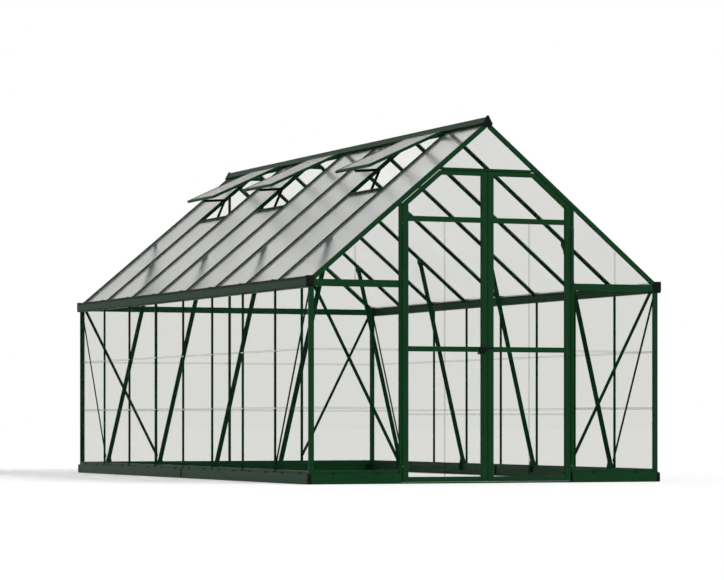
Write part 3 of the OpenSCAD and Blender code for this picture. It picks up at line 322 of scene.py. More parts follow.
@dataclass(frozen=True)
class SatinCoat:
    """A painted, coated or moulded surface with a fine grain and faint unevenness."""

    name: str
    colour: Colour
    shade: Colour
    roughness: float
    specular: float
    grain: float = 700.0
    grain_depth: float = 0.00012
    grain_strength: float = 0.5
    metallic: float = 0.0
    cloud_scale: float = 2.2
    patch_scale: float = 60.0
    roughness_range: tuple[float, float] = (-0.05, 0.06)

    def make(self) -> bpy.types.Material:
        """Builds the finish.

        Returns:
            The material.
        """
        tree = ShaderTree(self.name)
        shader = tree.add("ShaderNodeBsdfPrincipled", Metallic=self.metallic)
        shader.inputs["Specular IOR Level"].default_value = self.specular
        clouds = tree.spread(tree.noise(self.cloud_scale, detail=4), 0.0, 1.0)
        tree.join(tree.tint(clouds, self.shade, self.colour), shader.inputs["Base Color"])
        low, high = (self.roughness + step for step in self.roughness_range)
        tree.join(tree.spread(tree.noise(self.patch_scale), low, high), shader.inputs["Roughness"])
        grain = tree.noise(self.grain, detail=2)
        peel = tree.relief(grain, self.grain_depth, self.grain_strength)
        tree.join(peel, shader.inputs["Normal"])
        return tree.done(shader.outputs["BSDF"])


@dataclass(frozen=True)
class ClearSheet:
    """A clear solid sheet: a see-through tint under a faint gloss."""

    name: str
    tint: Colour
    gloss_ior: float
    flow_scale: float = 1.6
    flow_stretch: Point = (1.0, 1.0, 0.35)
    flow_depth: float = 0.004
    flow_strength: float = 0.35
    roughness_range: tuple[float, float] = (0.03, 0.10)

    def make(self) -> bpy.types.Material:
        """Builds the finish.

        Returns:
            The material.
        """
        tree = ShaderTree(self.name)
        through = tree.add("ShaderNodeBsdfTransparent", Color=(*self.tint, 1))
        shine = tree.add("ShaderNodeBsdfGlossy", Color=(1, 1, 1, 1))
        flow = tree.noise(self.flow_scale, detail=2, stretch=self.flow_stretch)
        tree.join(tree.spread(flow, *self.roughness_range), shine.inputs["Roughness"])
        wave = tree.relief(flow, self.flow_depth, self.flow_strength)
        tree.join(wave, shine.inputs["Normal"])
        shaders = through.outputs["BSDF"], shine.outputs["BSDF"]
        return tree.done(tree.coated(*shaders, self.gloss_ior))


@dataclass(frozen=True)
class TwinWall:
    """A twin-wall sheet, which blurs what lies behind it, the more the farther it is.

    The roughness stays over 0.28: from about 0.27 down, the renderer's denoiser takes the sheet
    for clear glass, and a sheet with both kinds of places comes out speckled.
    """

    name: str
    tint: Colour
    milk: Colour
    milk_share: float
    roughness: float = 0.30
    haze_range: float = 0.02
    haze_scale: float = 9.0
    cloud_scale: float = 1.4
    cloud_shade: float = 0.975
    ior: float = 1.045

    def make(self) -> bpy.types.Material:
        """Builds the finish.

        Returns:
            The material.
        """
        tree = ShaderTree(self.name)
        through = tree.add("ShaderNodeBsdfRefraction", distribution="BECKMANN", IOR=self.ior)
        clouds = tree.spread(tree.noise(self.cloud_scale), 0.0, 1.0)
        shade = scaled(self.tint, self.cloud_shade)
        tree.join(tree.tint(clouds, shade, self.tint), through.inputs["Color"])
        low, high = self.roughness - self.haze_range, self.roughness + self.haze_range
        haze = tree.spread(tree.noise(self.haze_scale), low, high)
        tree.join(haze, through.inputs["Roughness"])
        milk = tree.add("ShaderNodeBsdfDiffuse", Color=(*self.milk, 1))
        shaders = through.outputs["BSDF"], milk.outputs["BSDF"]
        return tree.done(tree.blend(self.milk_share, *shaders))


@dataclass(frozen=True)
class StudioFloor:
    """A white floor that only the object's shadow darkens."""

    name: str = "studio_floor"
    white: float = 0.9
    seen_white: float = 1.0

    def make(self) -> bpy.types.Material:
        """Builds the finish.

        Returns:
            The material.
        """
        tree = ShaderTree(self.name)
        plain_white, bright = (
            tree.add("ShaderNodeBsdfDiffuse", Color=(white, white, white, 1)).outputs["BSDF"]
            for white in (self.white, self.seen_white)
        )
        return tree.done(tree.blend(tree.seen_by("Camera", "Transmission"), plain_white, bright))


def linear(*display: int) -> Colour:
    """Turns a display colour, of 0 to 255 each, into linear light by the sRGB curve."""
    shares = (value / 255 for value in display)
    return tuple(s / 12.92 if s <= 0.04045 else ((s + 0.055) / 1.055) ** 2.4 for s in shares)


def scaled(colour: Colour, factor: float) -> Colour:
    """Makes a colour darker or lighter."""
    return tuple(factor * channel for channel in colour)


class Wardrobe:
    """Every finish of the object, made once and looked up by name."""

    def __init__(self) -> None:
        """Builds the materials."""
        green = linear(15, 54, 28)
        # Painted shade: the green darkened by a fifth for the bars, braces and sills inside the
        # house.
        painted_shade_green = scaled(green, 0.8)
        coat = green, scaled(green, 0.9)
        matt_painted_shade = painted_shade_green, scaled(painted_shade_green, 0.88)
        plastic = linear(16, 18, 18), linear(11, 12, 12)
        paint = linear(9, 13, 11), linear(7, 10, 8)
        # Painted glint: pale colours for the joiner clips where they cross the dark bars.
        painted_glint = (0.66, 0.67, 0.65), (0.6, 0.61, 0.59)
        steel = (0.42, 0.43, 0.44), (0.36, 0.37, 0.38)
        finishes = {
            Finish.GREEN: SatinCoat("green_powder_coat", *coat, roughness=0.42, specular=0.045),
            Finish.SHEEN_GREEN: SatinCoat(
                "green_powder_coat_sheen", *coat, roughness=0.42, specular=0.075
            ),
            Finish.DULL_GREEN: SatinCoat(
                "green_powder_coat_dull", *matt_painted_shade, roughness=0.5, specular=0.012
            ),
            Finish.BLACK_PLASTIC: SatinCoat(
                "black_moulded_plastic", *plastic, roughness=0.5, specular=0.05, grain=900.0
            ),
            Finish.BLACK_METAL: SatinCoat("black_paint", *paint, roughness=0.4, specular=0.06),
            Finish.CLEAR: ClearSheet("clear_sheet", (0.911, 0.912, 0.902), gloss_ior=1.014),
            Finish.CLEAR_STRIP: ClearSheet("clear_strip", (0.93, 0.93, 0.925), gloss_ior=1.03),
            Finish.FROSTED_STRIP: SatinCoat(
                "frosted_strip", *painted_glint, roughness=0.4, specular=0.3, grain=500.0
            ),
            Finish.ROOF: TwinWall(
                "twin_wall_sheet", (0.955, 0.957, 0.952), (0.8, 0.8, 0.8), milk_share=0.06
            ),
            # Painted reflection: the vents' sheets are the same twin-wall sheet; their larger milk
            # share paints the bright sky that they reflect when seen at a grazing angle.
            Finish.VENT_ROOF: TwinWall(
                "twin_wall_vent_sheet",
                (0.95, 0.952, 0.947),
                (0.72, 0.72, 0.71),
                milk_share=0.42,
            ),
            Finish.STEEL: SatinCoat(
                "plain_steel",
                *steel,
                roughness=0.32,
                specular=0.5,
                grain=1500.0,
                grain_depth=0.00004,
                metallic=1.0,
            ),
        }
        self.materials = {finish: recipe.make() for finish, recipe in finishes.items()}

    def dress(self, piece: bpy.types.Object, finish: Finish) -> None:
        """Gives a piece its only finish."""
        piece.data.materials.clear()
        piece.data.materials.append(self.materials[finish])

    def dress_node(self, node: bpy.types.Object, finish: Finish) -> None:
        """Gives a CAD node a finish, without touching its mesh."""
        for place in node.material_slots:
            place.material = self.materials[finish]


def mesh_object(name: str, shape: Solid) -> bpy.types.Object:
    """Turns a finished bmesh into an object at the origin.

    Args:
        name: The object's name.
        shape: The bmesh, which is freed.

    Returns:
        The object.
    """
    mesh = bpy.data.meshes.new(name)
    shape.to_mesh(mesh)
    shape.free()
    piece = bpy.data.objects.new(name, mesh)
    bpy.context.scene.collection.objects.link(piece)
    return piece


def aimed(origin: Point, direction: Point) -> Matrix:
    """Matrix that puts the local origin at a point and turns local Z to a direction."""
    turn = Vector(direction).to_track_quat("Z", "Y").to_matrix().to_4x4()
    return Matrix.Translation(origin) @ turn


def facing(origin: Point, outward: Point, along: Point) -> Matrix:
    """Matrix to a place on a wall.

    Args:
        origin: Where the local origin goes.
        outward: Where local Z points.
        along: Where local X points, square to local Z.

    Returns:
        The matrix from the local frame to the row frame.
    """
    out, run = Vector(outward), Vector(along)
    turn = Matrix((run, out.cross(run), out)).transposed().to_4x4()
    return Matrix.Translation(origin) @ turn


def soften(shape: Solid, edges: list[bmesh.types.BMEdge], width: float) -> None:
    """Rounds edges of a mesh.

    Args:
        shape: The mesh.
        edges: The edges to round.
        width: Width of the rounding.
    """
    bmesh.ops.bevel(
        shape,
        geom=edges,
        offset=width,
        offset_type="OFFSET",
        segments=2,
        profile=0.5,
        affect="EDGES",
        material=-1,
        clamp_overlap=True,
    )


class Shape:
    """A bmesh that grows by rounded prisms, rods and bolts, each placed by a matrix."""

    def __init__(self) -> None:
        """Starts an empty shape."""
        self.mesh = bmesh.new()

    def take(self, part: Solid, place: Matrix) -> None:
        """Moves a part into place and adds it to the shape.

        Args:
            part: The part, which is freed.
            place: Matrix from the part's frame to the row frame.
        """
        bmesh.ops.transform(part, matrix=place, verts=part.verts)
        bmesh.ops.recalc_face_normals(part, faces=part.faces)
        mesh = bpy.data.meshes.new("part")
        part.to_mesh(mesh)
        part.free()
        self.mesh.from_mesh(mesh)
        bpy.data.meshes.remove(mesh)

    def prism(
        self,
        outline: Sequence[tuple[float, float]],
        start: float,
        end: float,
        place: Matrix,
        bevel: float = 0.0,
    ) -> None:
        """Adds a prism, rounded along its edges.

        Args:
            outline: Corners in the local XY plane.
            start: Lower end along local Z.
            end: Upper end along local Z.
            place: Matrix from the local frame to the row frame.
            bevel: Width of the rounding.
        """
        part = bmesh.new()
        face = part.faces.new([part.verts.new((u, v, start)) for u, v in outline])
        body = bmesh.ops.extrude_face_region(part, geom=[face])
        moved = [v for v in body["geom"] if isinstance(v, bmesh.types.BMVert)]
        bmesh.ops.translate(part, vec=(0, 0, end - start), verts=moved)
        bmesh.ops.recalc_face_normals(part, faces=part.faces)
        if bevel:
            soften(part, list(part.edges), bevel)
        self.take(part, place)

    def block(self, low: Point, high: Point, place: Matrix, bevel: float) -> None:
        """Adds a rounded block between its lower and its upper corner."""
        outline = ((low[0], low[1]), (high[0], low[1]), (high[0], high[1]), (low[0], high[1]))
        self.prism(outline, low[2], high[2], place, bevel)

    def rod(
        self, sides: int, radius: float, top_radius: float, height: float, place: Matrix
    ) -> None:
        """Adds a rod that stands on the local origin.

        Args:
            sides: Number of its sides.
            radius: Radius at the foot.
            top_radius: Radius at the top.
            height: Length along local Z.
            place: Matrix from the local frame to the row frame.
        """
        part = bmesh.new()
        bmesh.ops.create_cone(
            part, cap_ends=True, segments=sides, radius1=radius, radius2=top_radius, depth=height
        )
        bmesh.ops.translate(part, vec=(0, 0, height / 2), verts=part.verts)
        self.take(part, place)

    def turned(self, place: Matrix, radius: float, steps: Sequence[Step]) -> None:
        """Adds a small turned part whose head has the given radius."""
        for sides, foot, top, height in steps:
            self.rod(sides, foot * radius, top * radius, height, place)

    def bolt(self, place: Matrix, radius: float = 0.005) -> None:
        """Adds a hexagon head with its washer and the bolt's end."""
        self.turned(place, radius, BOLT)

    def screw(self, place: Matrix, radius: float = 0.0035) -> None:
        """Adds a low domed screw head with a raised middle ring."""
        self.turned(place, radius, SCREW)


@dataclass
class Workshop:
    """Hands finished shapes over as dressed pieces that ride on a body."""

    frame: dict[str, Any]
    wardrobe: Wardrobe
    same_place: float = 1e-6

    def hand_over(
        self, name: str, shape: Solid, finish: Finish, body: str, *replaced: str
    ) -> None:
        """Turns a shape into a finished piece.

        Args:
            name: The piece's name.
            shape: Its bmesh, in the row frame.
            finish: Its finish.
            body: The CAD body that it rides on.
            *replaced: CAD nodes that it stands for.
        """
        piece = mesh_object(name, shape)
        self.wardrobe.dress(piece, finish)
        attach(piece, body)
        if replaced:
            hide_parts(*replaced)
        LOG.info("made %s", name)

    def copy_of(self, node: str) -> Solid:
        """Copies a CAD node's mesh in the row frame.

        Args:
            node: The node's name.

        Returns:
            The mesh, with its doubled corners merged.
        """
        bpy.context.view_layer.update()
        source = self.frame["nodes"][node]
        shape = bmesh.new()
        shape.from_mesh(source.data)
        bmesh.ops.transform(shape, matrix=source.matrix_world, verts=shape.verts)
        bmesh.ops.remove_doubles(shape, verts=shape.verts, dist=self.same_place)
        bmesh.ops.recalc_face_normals(shape, faces=shape.faces)
        return shape


@dataclass
class RoofGrid:
    """The house's grid of bays and the slopes that its roof sheets lie on."""

    bay: float = 0.61
    bays: int = 8
    pitch: float = math.radians(40)
    half_w: float = 1.22
    surface_z: float = 1.298
    eave_gap: float = 0.002
    vented: tuple[int, ...] = (1, 4, 6)
    back_bars: tuple[int, ...] = (-1, 0, 1)
    hinge_s: float = 0.030
    hinge_n: float = 0.009
    vent_open: float = math.radians(15.5)

    @property
    def half_l(self) -> float:
        """Half of the length between the gables' grid lines."""
        return self.bays * self.bay / 2

    @property
    def apex_z(self) -> float:
        """Height at which the two roof surfaces meet."""
        return self.surface_z + self.half_w * math.tan(self.pitch)

    @property
    def eave_s(self) -> float:
        """Length of a roof bar's top, down the slope."""
        return (self.half_w - self.eave_gap) / math.cos(self.pitch)

    @property
    def slope(self) -> Matrix:
        """Matrix from the right slope's coordinates (down, along, out) to the row frame."""
        return Matrix.Translation((0, 0, self.apex_z)) @ Matrix.Rotation(self.pitch, 4, "Y")

    def along(self, bays: float) -> float:
        """Place along Y, counted in bays from the doors."""
        return bays * self.bay - self.half_l

    def span(self, bay: int, edge_gap: float, bar_gap: float) -> tuple[float, float]:
        """Finds the clear length of a bay along Y.

        Args:
            bay: The bay, counted from 0 at the doors.
            edge_gap: What stays free beside a gable.
            bar_gap: What stays free beside a bar.

        Returns:
            Its lower and upper end.
        """
        low = self.along(bay) + (bar_gap if bay else edge_gap)
        high = self.along(bay + 1) - (edge_gap if bay == self.bays - 1 else bar_gap)
        return low, high

    def place(self, side: Side) -> Matrix:
        """Matrix from slope coordinates (down, along, out) on one side to the row frame."""
        return side.mirror @ self.slope

    def vent_place(self, number: int) -> Matrix:
        """Matrix from the slope coordinates of a vent, opened as drawn, to the row frame.

        Args:
            number: The vent, counted from 1 at the back.

        Returns:
            The matrix; its Y runs from the vent's middle.
        """
        bay = sorted(self.vented, reverse=True)[number - 1]
        hinge = self.slope @ Vector((self.hinge_s, 0, self.hinge_n))
        swing = Matrix.Rotation(-self.vent_open, 4, "Y")
        opened = Matrix.Translation(hinge) @ swing @ Matrix.Translation(-hinge) @ self.slope
        return Side.LEFT.mirror @ Matrix.Translation((0, self.along(bay + 0.5), 0)) @ opened


@dataclass
class SubAssembly:
    """A group of pieces, with the workshop that takes them and the grid that places them."""

    workshop: Workshop
    grid: RoofGrid = field(default_factory=RoofGrid)

    def build(self) -> None:
        """Makes the group's pieces."""
        raise NotImplementedError


@dataclass
class RoofSheets(SubAssembly):
    """The twin-wall sheets of both slopes and the vents, with cells along the slope."""

    thickness: float = 0.004
    top_n: float = -0.0053
    cell: float = 0.012
    swell: float = 0.00012
    upper_s: float = 0.024
    sill_s: float = 0.622
    foot_gap: float = 0.006
    edge_gap: float = 0.004
    bar_gap: float = 0.0028
    vent_top_n: float = 0.0167
    vent_ends: tuple[float, float] = (0.0532, 0.6058)
    vent_half_w: float = 0.2868

    def sheet(
        self, low: float, high: float, start: float, end: float, top_n: float, place: Matrix
    ) -> Solid:
        """Builds one closed sheet whose faces swell a little between its ribs.

        Args:
            low: Lower edge along Y.
            high: Upper edge along Y.
            start: Upper end, down the slope.
            end: Lower end, down the slope.
            top_n: Height of its upper face over the slope.
            place: Matrix from slope coordinates to the row frame.

        Returns:
            The sheet in the row frame.
        """
        shape = bmesh.new()
        cells = round((high - low) / self.cell)
        bmesh.ops.create_grid(shape, x_segments=1, y_segments=2 * cells, size=0.5)
        size = Vector((end - start, high - low, 1))
        bmesh.ops.scale(shape, vec=size, verts=shape.verts)
        middle = Vector(((start + end) / 2, (low + high) / 2, top_n))
        bmesh.ops.translate(shape, vec=middle, verts=shape.verts)
        top = list(shape.faces)
        body = bmesh.ops.extrude_face_region(shape, geom=top)
        under = [v for v in body["geom"] if isinstance(v, bmesh.types.BMVert)]
        bmesh.ops.translate(shape, vec=(0, 0, -self.thickness), verts=under)
        lower = set(under)
        step = (high - low) / (2 * cells)
        for vert in shape.verts:
            crown = round((vert.co.y - low) / step) % 2
            vert.co.z += (-self.swell if vert in lower else self.swell) * crown
        bmesh.ops.transform(shape, matrix=place, verts=shape.verts)
        bmesh.ops.recalc_face_normals(shape, faces=shape.faces)
        return shape

    def build_slope(self, side: Side) -> None:
        """Makes one slope's sheets in place of the plain solids.

        Args:
            side: The slope.
        """
        name = side.name.lower()
        whole = Shape()
        for bay in range(self.grid.bays):
            low, high = self.grid.span(bay, self.edge_gap, self.bar_gap)
            vented = side is Side.LEFT and bay in self.grid.vented
            start = self.sill_s if vented else self.upper_s
            end = self.grid.eave_s - self.foot_gap
            part = self.sheet(low, high, start, end, self.top_n, self.grid.place(side))
            whole.take(part, Matrix.Identity(4))
        piece, node = f"twin_wall_{name}", f"roof_sheets_{name}"
        self.workshop.hand_over(piece, whole.mesh, Finish.ROOF, "frame", node)

    def build(self) -> None:
        """Makes both slopes' sheets and those of the vents."""
        for side in Side:
            self.build_slope(side)
        for number in range(1, len(self.grid.vented) + 1):
            half, place = self.vent_half_w, self.grid.vent_place(number)
            shape = self.sheet(-half, half, *self.vent_ends, self.vent_top_n, place)
            piece, body = f"twin_wall_vent_{number}", f"vent_{number}"
            self.workshop.hand_over(piece, shape, Finish.VENT_ROOF, body, f"{body}_sheet")


@dataclass
class SeamStrips(SubAssembly):
    """Clear strips over the upright joints of the door sheets and of the front gable's sheets."""

    width: float = 0.011
    wall: float = 0.0010
    web: float = 0.0004
    sheet: float = 0.0026
    gap: float = 0.0005
    leaf_y: float = -2.4405
    leaf_x: float = 0.29725
    leaf_view: tuple[float, float] = (0.0425, 0.5520)
    leaf_levels: tuple[tuple[float, float], ...] = ((0.0425, 0.8395), (0.8735, 1.6675))
    leaf_joint: float = 0.440
    gable_x: float = 0.915
    gable_y: float = -2.4427
    gable_levels: tuple[float, float] = (1.2905, 1.5075)

    def strip(self, shape: Shape, length: tuple[float, float], place: Matrix) -> None:
        """Adds an H-shaped strip: two flanges, on both faces of a sheet, and the web between them.

        Args:
            shape: The shape that grows.
            length: Start and end along local Z.
            place: Matrix with local X across the strip and local Y through the sheet.
        """
        half, web, inner = self.width / 2, self.web / 2, self.sheet / 2
        outer = inner + self.wall
        upper = [(web, inner), (half, inner), (half, outer)]
        right = [(u, -v) for u, v in reversed(upper)] + upper
        left = [(-u, v) for u, v in reversed(right)]
        shape.prism(right + left, *length, place)

    def build_leaf(self, side: Side) -> None:
        """Makes the strips of one door leaf.

        Args:
            side: The leaf's side.
        """
        shape = Shape()
        upright = Matrix.Translation((side.value * self.leaf_x, self.leaf_y, 0))
        for level in self.leaf_levels:
            self.strip(shape, level, upright)
        level_turn = Matrix.Rotation(side.value * math.pi / 2, 4, "Y")
        across = Matrix.Translation((0, self.leaf_y, self.leaf_joint)) @ level_turn
        clear = self.width / 2 + self.gap
        self.strip(shape, (self.leaf_view[0], self.leaf_x - clear), across)
        self.strip(shape, (self.leaf_x + clear, self.leaf_view[1]), across)
        self.workshop.hand_over(f"{side.leaf}_seams", shape.mesh, Finish.CLEAR_STRIP, side.leaf)

    def build(self) -> None:
        """Makes the strips of both leaves and of the front gable."""
        for side in Side:
            self.build_leaf(side)
        shape = Shape()
        for side in Side:
            place = Matrix.Translation((side.value * self.gable_x, self.gable_y, 0))
            self.strip(shape, self.gable_levels, place)
        self.workshop.hand_over("gable_seams", shape.mesh, Finish.CLEAR_STRIP, "frame")


@dataclass
class JoinerLinks(SubAssembly):
    """Small pale clips that carry the sheets' level joints across the bars' outer faces; their
    pale colour is a painted glint of the clear joiners where they cross the dark bars.
    """

    levels: tuple[float, ...] = (0.480, 0.850)
    side_half: float = 0.017
    back_half: float = 0.019
    half_height: float = 0.003
    bar_out: float = 0.0091
    thickness: float = 0.0014
    lift: float = 0.0001
    hook: tuple[float, float] = (-0.0035, 0.0008)
    back_rounding: float = 0.0004
    hook_rounding: float = 0.0003

    def link(self, shape: Shape, place: Matrix, half: float) -> None:
        """Adds one clip with turned-in ends.

        Args:
            shape: The shape that grows.
            place: Matrix to the middle of the bar's outer face.
            half: Half of the clip's length, along local X.
        """
        h, t = self.half_height, self.thickness
        shape.block((-half, -h, self.lift), (half, h, t), place, self.back_rounding)
        for end in (-1, 1):
            low, high = sorted((end * half, end * (half - t)))
            hook = (low, -h, self.hook[0]), (high, h, self.hook[1])
            shape.block(*hook, place, self.hook_rounding)

    def build(self) -> None:
        """Makes the clips over the side bars and the back bars."""
        shape = Shape()
        side_x, back_y = self.grid.half_w + self.bar_out, self.grid.half_l + self.bar_out
        for level in self.levels:
            for k in range(1, self.grid.bays):
                for side in Side:
                    spot = (side.value * side_x, self.grid.along(k), level)
                    self.link(shape, facing(spot, (side.value, 0, 0), (0, 1, 0)), self.side_half)
            for k in self.grid.back_bars:
                spot = (k * self.grid.bay, back_y, level)
                self.link(shape, facing(spot, (0, 1, 0), (1, 0, 0)), self.back_half)
        self.workshop.hand_over("joiner_links", shape.mesh, Finish.FROSTED_STRIP, "frame")


@dataclass
class RoofTrim(SubAssembly):
    """Black gaskets under the ridge, black strips of painted shade along the gutters' lower edges,
    and the sills' clips.

    A sill clip's parts are given down the slope and out from it: foot, web and hook.
    """

    gasket_s: tuple[float, float] = (0.0262, 0.0372)
    gasket_n: tuple[float, float] = (-0.0050, -0.0004)
    bar_clear: float = 0.0095
    rafter_clear: float = 0.0105
    # Painted shade: a thin black strip along each gutter's lower edge stands for the shade under
    # it.
    lip_x: tuple[float, float] = (1.2481, 1.2498)
    lip_z: tuple[float, float] = (1.2388, 1.2462)
    lip_y: float = 2.4478
    gasket_rounding: float = 0.0014
    lip_rounding: float = 0.0006
    sill_clip_y: float = 0.15
    sill_clip_half: float = 0.009
    sill_clip_parts: tuple[tuple[float, ...], ...] = (
        (0.6284, 0.6380, -0.0050, -0.0020),
        (0.6284, 0.6312, -0.0040, 0.0012),
        (0.6215, 0.6305, 0.0002, 0.0020),
    )
    sill_clip_rounding: tuple[float, ...] = (0.0008, 0.0008, 0.0006)

    def ridge_gaskets(self) -> None:
        """Makes the gaskets between the ridge's skirts and the roof sheets."""
        shape = Shape()
        for side in Side:
            place = self.grid.place(side)
            for bay in range(self.grid.bays):
                if side is Side.LEFT and bay in self.grid.vented:
                    continue
                low, high = self.grid.span(bay, self.rafter_clear, self.bar_clear)
                first = (self.gasket_s[0], low, self.gasket_n[0])
                last = (self.gasket_s[1], high, self.gasket_n[1])
                shape.block(first, last, place, self.gasket_rounding)
        self.workshop.hand_over("ridge_gaskets", shape.mesh, Finish.BLACK_PLASTIC, "frame")

    def gutter_lips(self) -> None:
        """Makes the black strips of painted shade along the lower edges of both gutters."""
        shape = Shape()
        for side in Side:
            first = (self.lip_x[0], -self.lip_y, self.lip_z[0])
            last = (self.lip_x[1], self.lip_y, self.lip_z[1])
            shape.block(first, last, side.mirror, self.lip_rounding)
        self.workshop.hand_over("gutter_lips", shape.mesh, Finish.BLACK_PLASTIC, "frame")

    def sill_clips(self) -> None:
        """Makes the small clips that hold the roof sheets under the vents' sills."""
        shape = Shape()
        place = self.grid.place(Side.LEFT)
        for bay in self.grid.vented:
            for end in (-1, 1):
                y = self.grid.along(bay + 0.5) + end * self.sill_clip_y
                low, high = y - self.sill_clip_half, y + self.sill_clip_half
                parts = zip(self.sill_clip_parts, self.sill_clip_rounding)
                for (near, far, under, over), rounding in parts:
                    shape.block((near, low, under), (far, high, over), place, rounding)
        self.workshop.hand_over("sill_clips", shape.mesh, Finish.BLACK_PLASTIC, "frame")

    def build(self) -> None:
        """Makes all of the roof's trim."""
        self.ridge_gaskets()
        self.gutter_lips()
        self.sill_clips()


@dataclass
class BarShoes(SubAssembly):
    """Black shoes on the base's ledge, one before the foot of each glazing bar."""

    ledge_z: float = 0.0662
    height: float = 0.010
    depth: float = 0.0058
    bar_out: float = 0.0092
    half_width: float = 0.0105
    toe_height: float = 0.0030
    top_depth: float = 0.00174
    ear: Point = (0.0050, 0.00406, 0.0035)
    wedge_rounding: float = 0.0007
    ear_rounding: float = 0.0006

    def shoe(self, shape: Shape, place: Matrix) -> None:
        """Adds one shoe: a wedge before the bar with an ear on each side.

        Args:
            shape: The shape that grows.
            place: Matrix to the bar's foot, with local Y outward.
        """
        toe = (self.depth, 0), (self.depth, self.toe_height)
        wedge = ((0, 0), *toe, (self.top_depth, self.height), (0, self.height))
        turn = place @ Matrix.Rotation(math.pi / 2, 4, "Z") @ Matrix.Rotation(math.pi / 2, 4, "X")
        shape.prism(wedge, -self.half_width, self.half_width, turn, self.wedge_rounding)
        for end in (-1, 1):
            x = sorted((end * self.half_width, end * (self.half_width + self.ear[0])))
            shape.block((x[0], 0, 0), (x[1], *self.ear[1:]), place, self.ear_rounding)

    def build(self) -> None:
        """Makes the shoes of the side bars and the back bars."""
        shape = Shape()
        turns = {Side.LEFT: math.pi / 2, Side.RIGHT: -math.pi / 2}
        for side, turn in turns.items():
            x = side.value * (self.grid.half_w + self.bar_out)
            for k in range(1, self.grid.bays):
                spot = Matrix.Translation((x, self.grid.along(k), self.ledge_z))
                self.shoe(shape, spot @ Matrix.Rotation(turn, 4, "Z"))
        for k in self.grid.back_bars:
            spot = (k * self.grid.bay, self.grid.half_l + self.bar_out, self.ledge_z)
            self.shoe(shape, Matrix.Translation(spot))
        self.workshop.hand_over("bar_shoes", shape.mesh, Finish.BLACK_PLASTIC, "frame")


@dataclass
class DoorTrim(SubAssembly):
    """The brush seals under the door leaves."""

    leaf_x: tuple[float, float] = (0.003, 0.5915)
    leaf_y: tuple[float, float] = (-2.4445, -2.4365)
    seal_z: tuple[float, float] = (0.0086, 0.0109)
    holder_z: float = 0.0098
    holder_rounding: float = 0.0004
    tuft_half_step: float = 0.006
    tuft_radii: tuple[float, float] = (0.0022, 0.0026)
    tuft_tuck: float = 0.0004
    tuft_sides: int = 6

    def build(self) -> None:
        """Makes one seal for each leaf, a holder with tufts along its underside."""
        for side in Side:
            shape = Shape()
            first = (self.leaf_x[0], self.leaf_y[0], self.holder_z)
            last = (self.leaf_x[1], self.leaf_y[1], self.seal_z[1])
            shape.block(first, last, side.mirror, self.holder_rounding)
            count = int((self.leaf_x[1] - self.leaf_x[0]) / (2 * self.tuft_half_step))
            middle = sum(self.leaf_y) / 2
            height = self.holder_z - self.seal_z[0] + self.tuft_tuck
            for i in range(count):
                x = self.leaf_x[0] + (2 * i + 1) * self.tuft_half_step
                spot = Matrix.Translation((side.value * x, middle, self.seal_z[0]))
                shape.rod(self.tuft_sides, *self.tuft_radii, height, spot)
            name = f"{side.leaf}_seal"
            self.workshop.hand_over(name, shape.mesh, Finish.BLACK_PLASTIC, side.leaf)


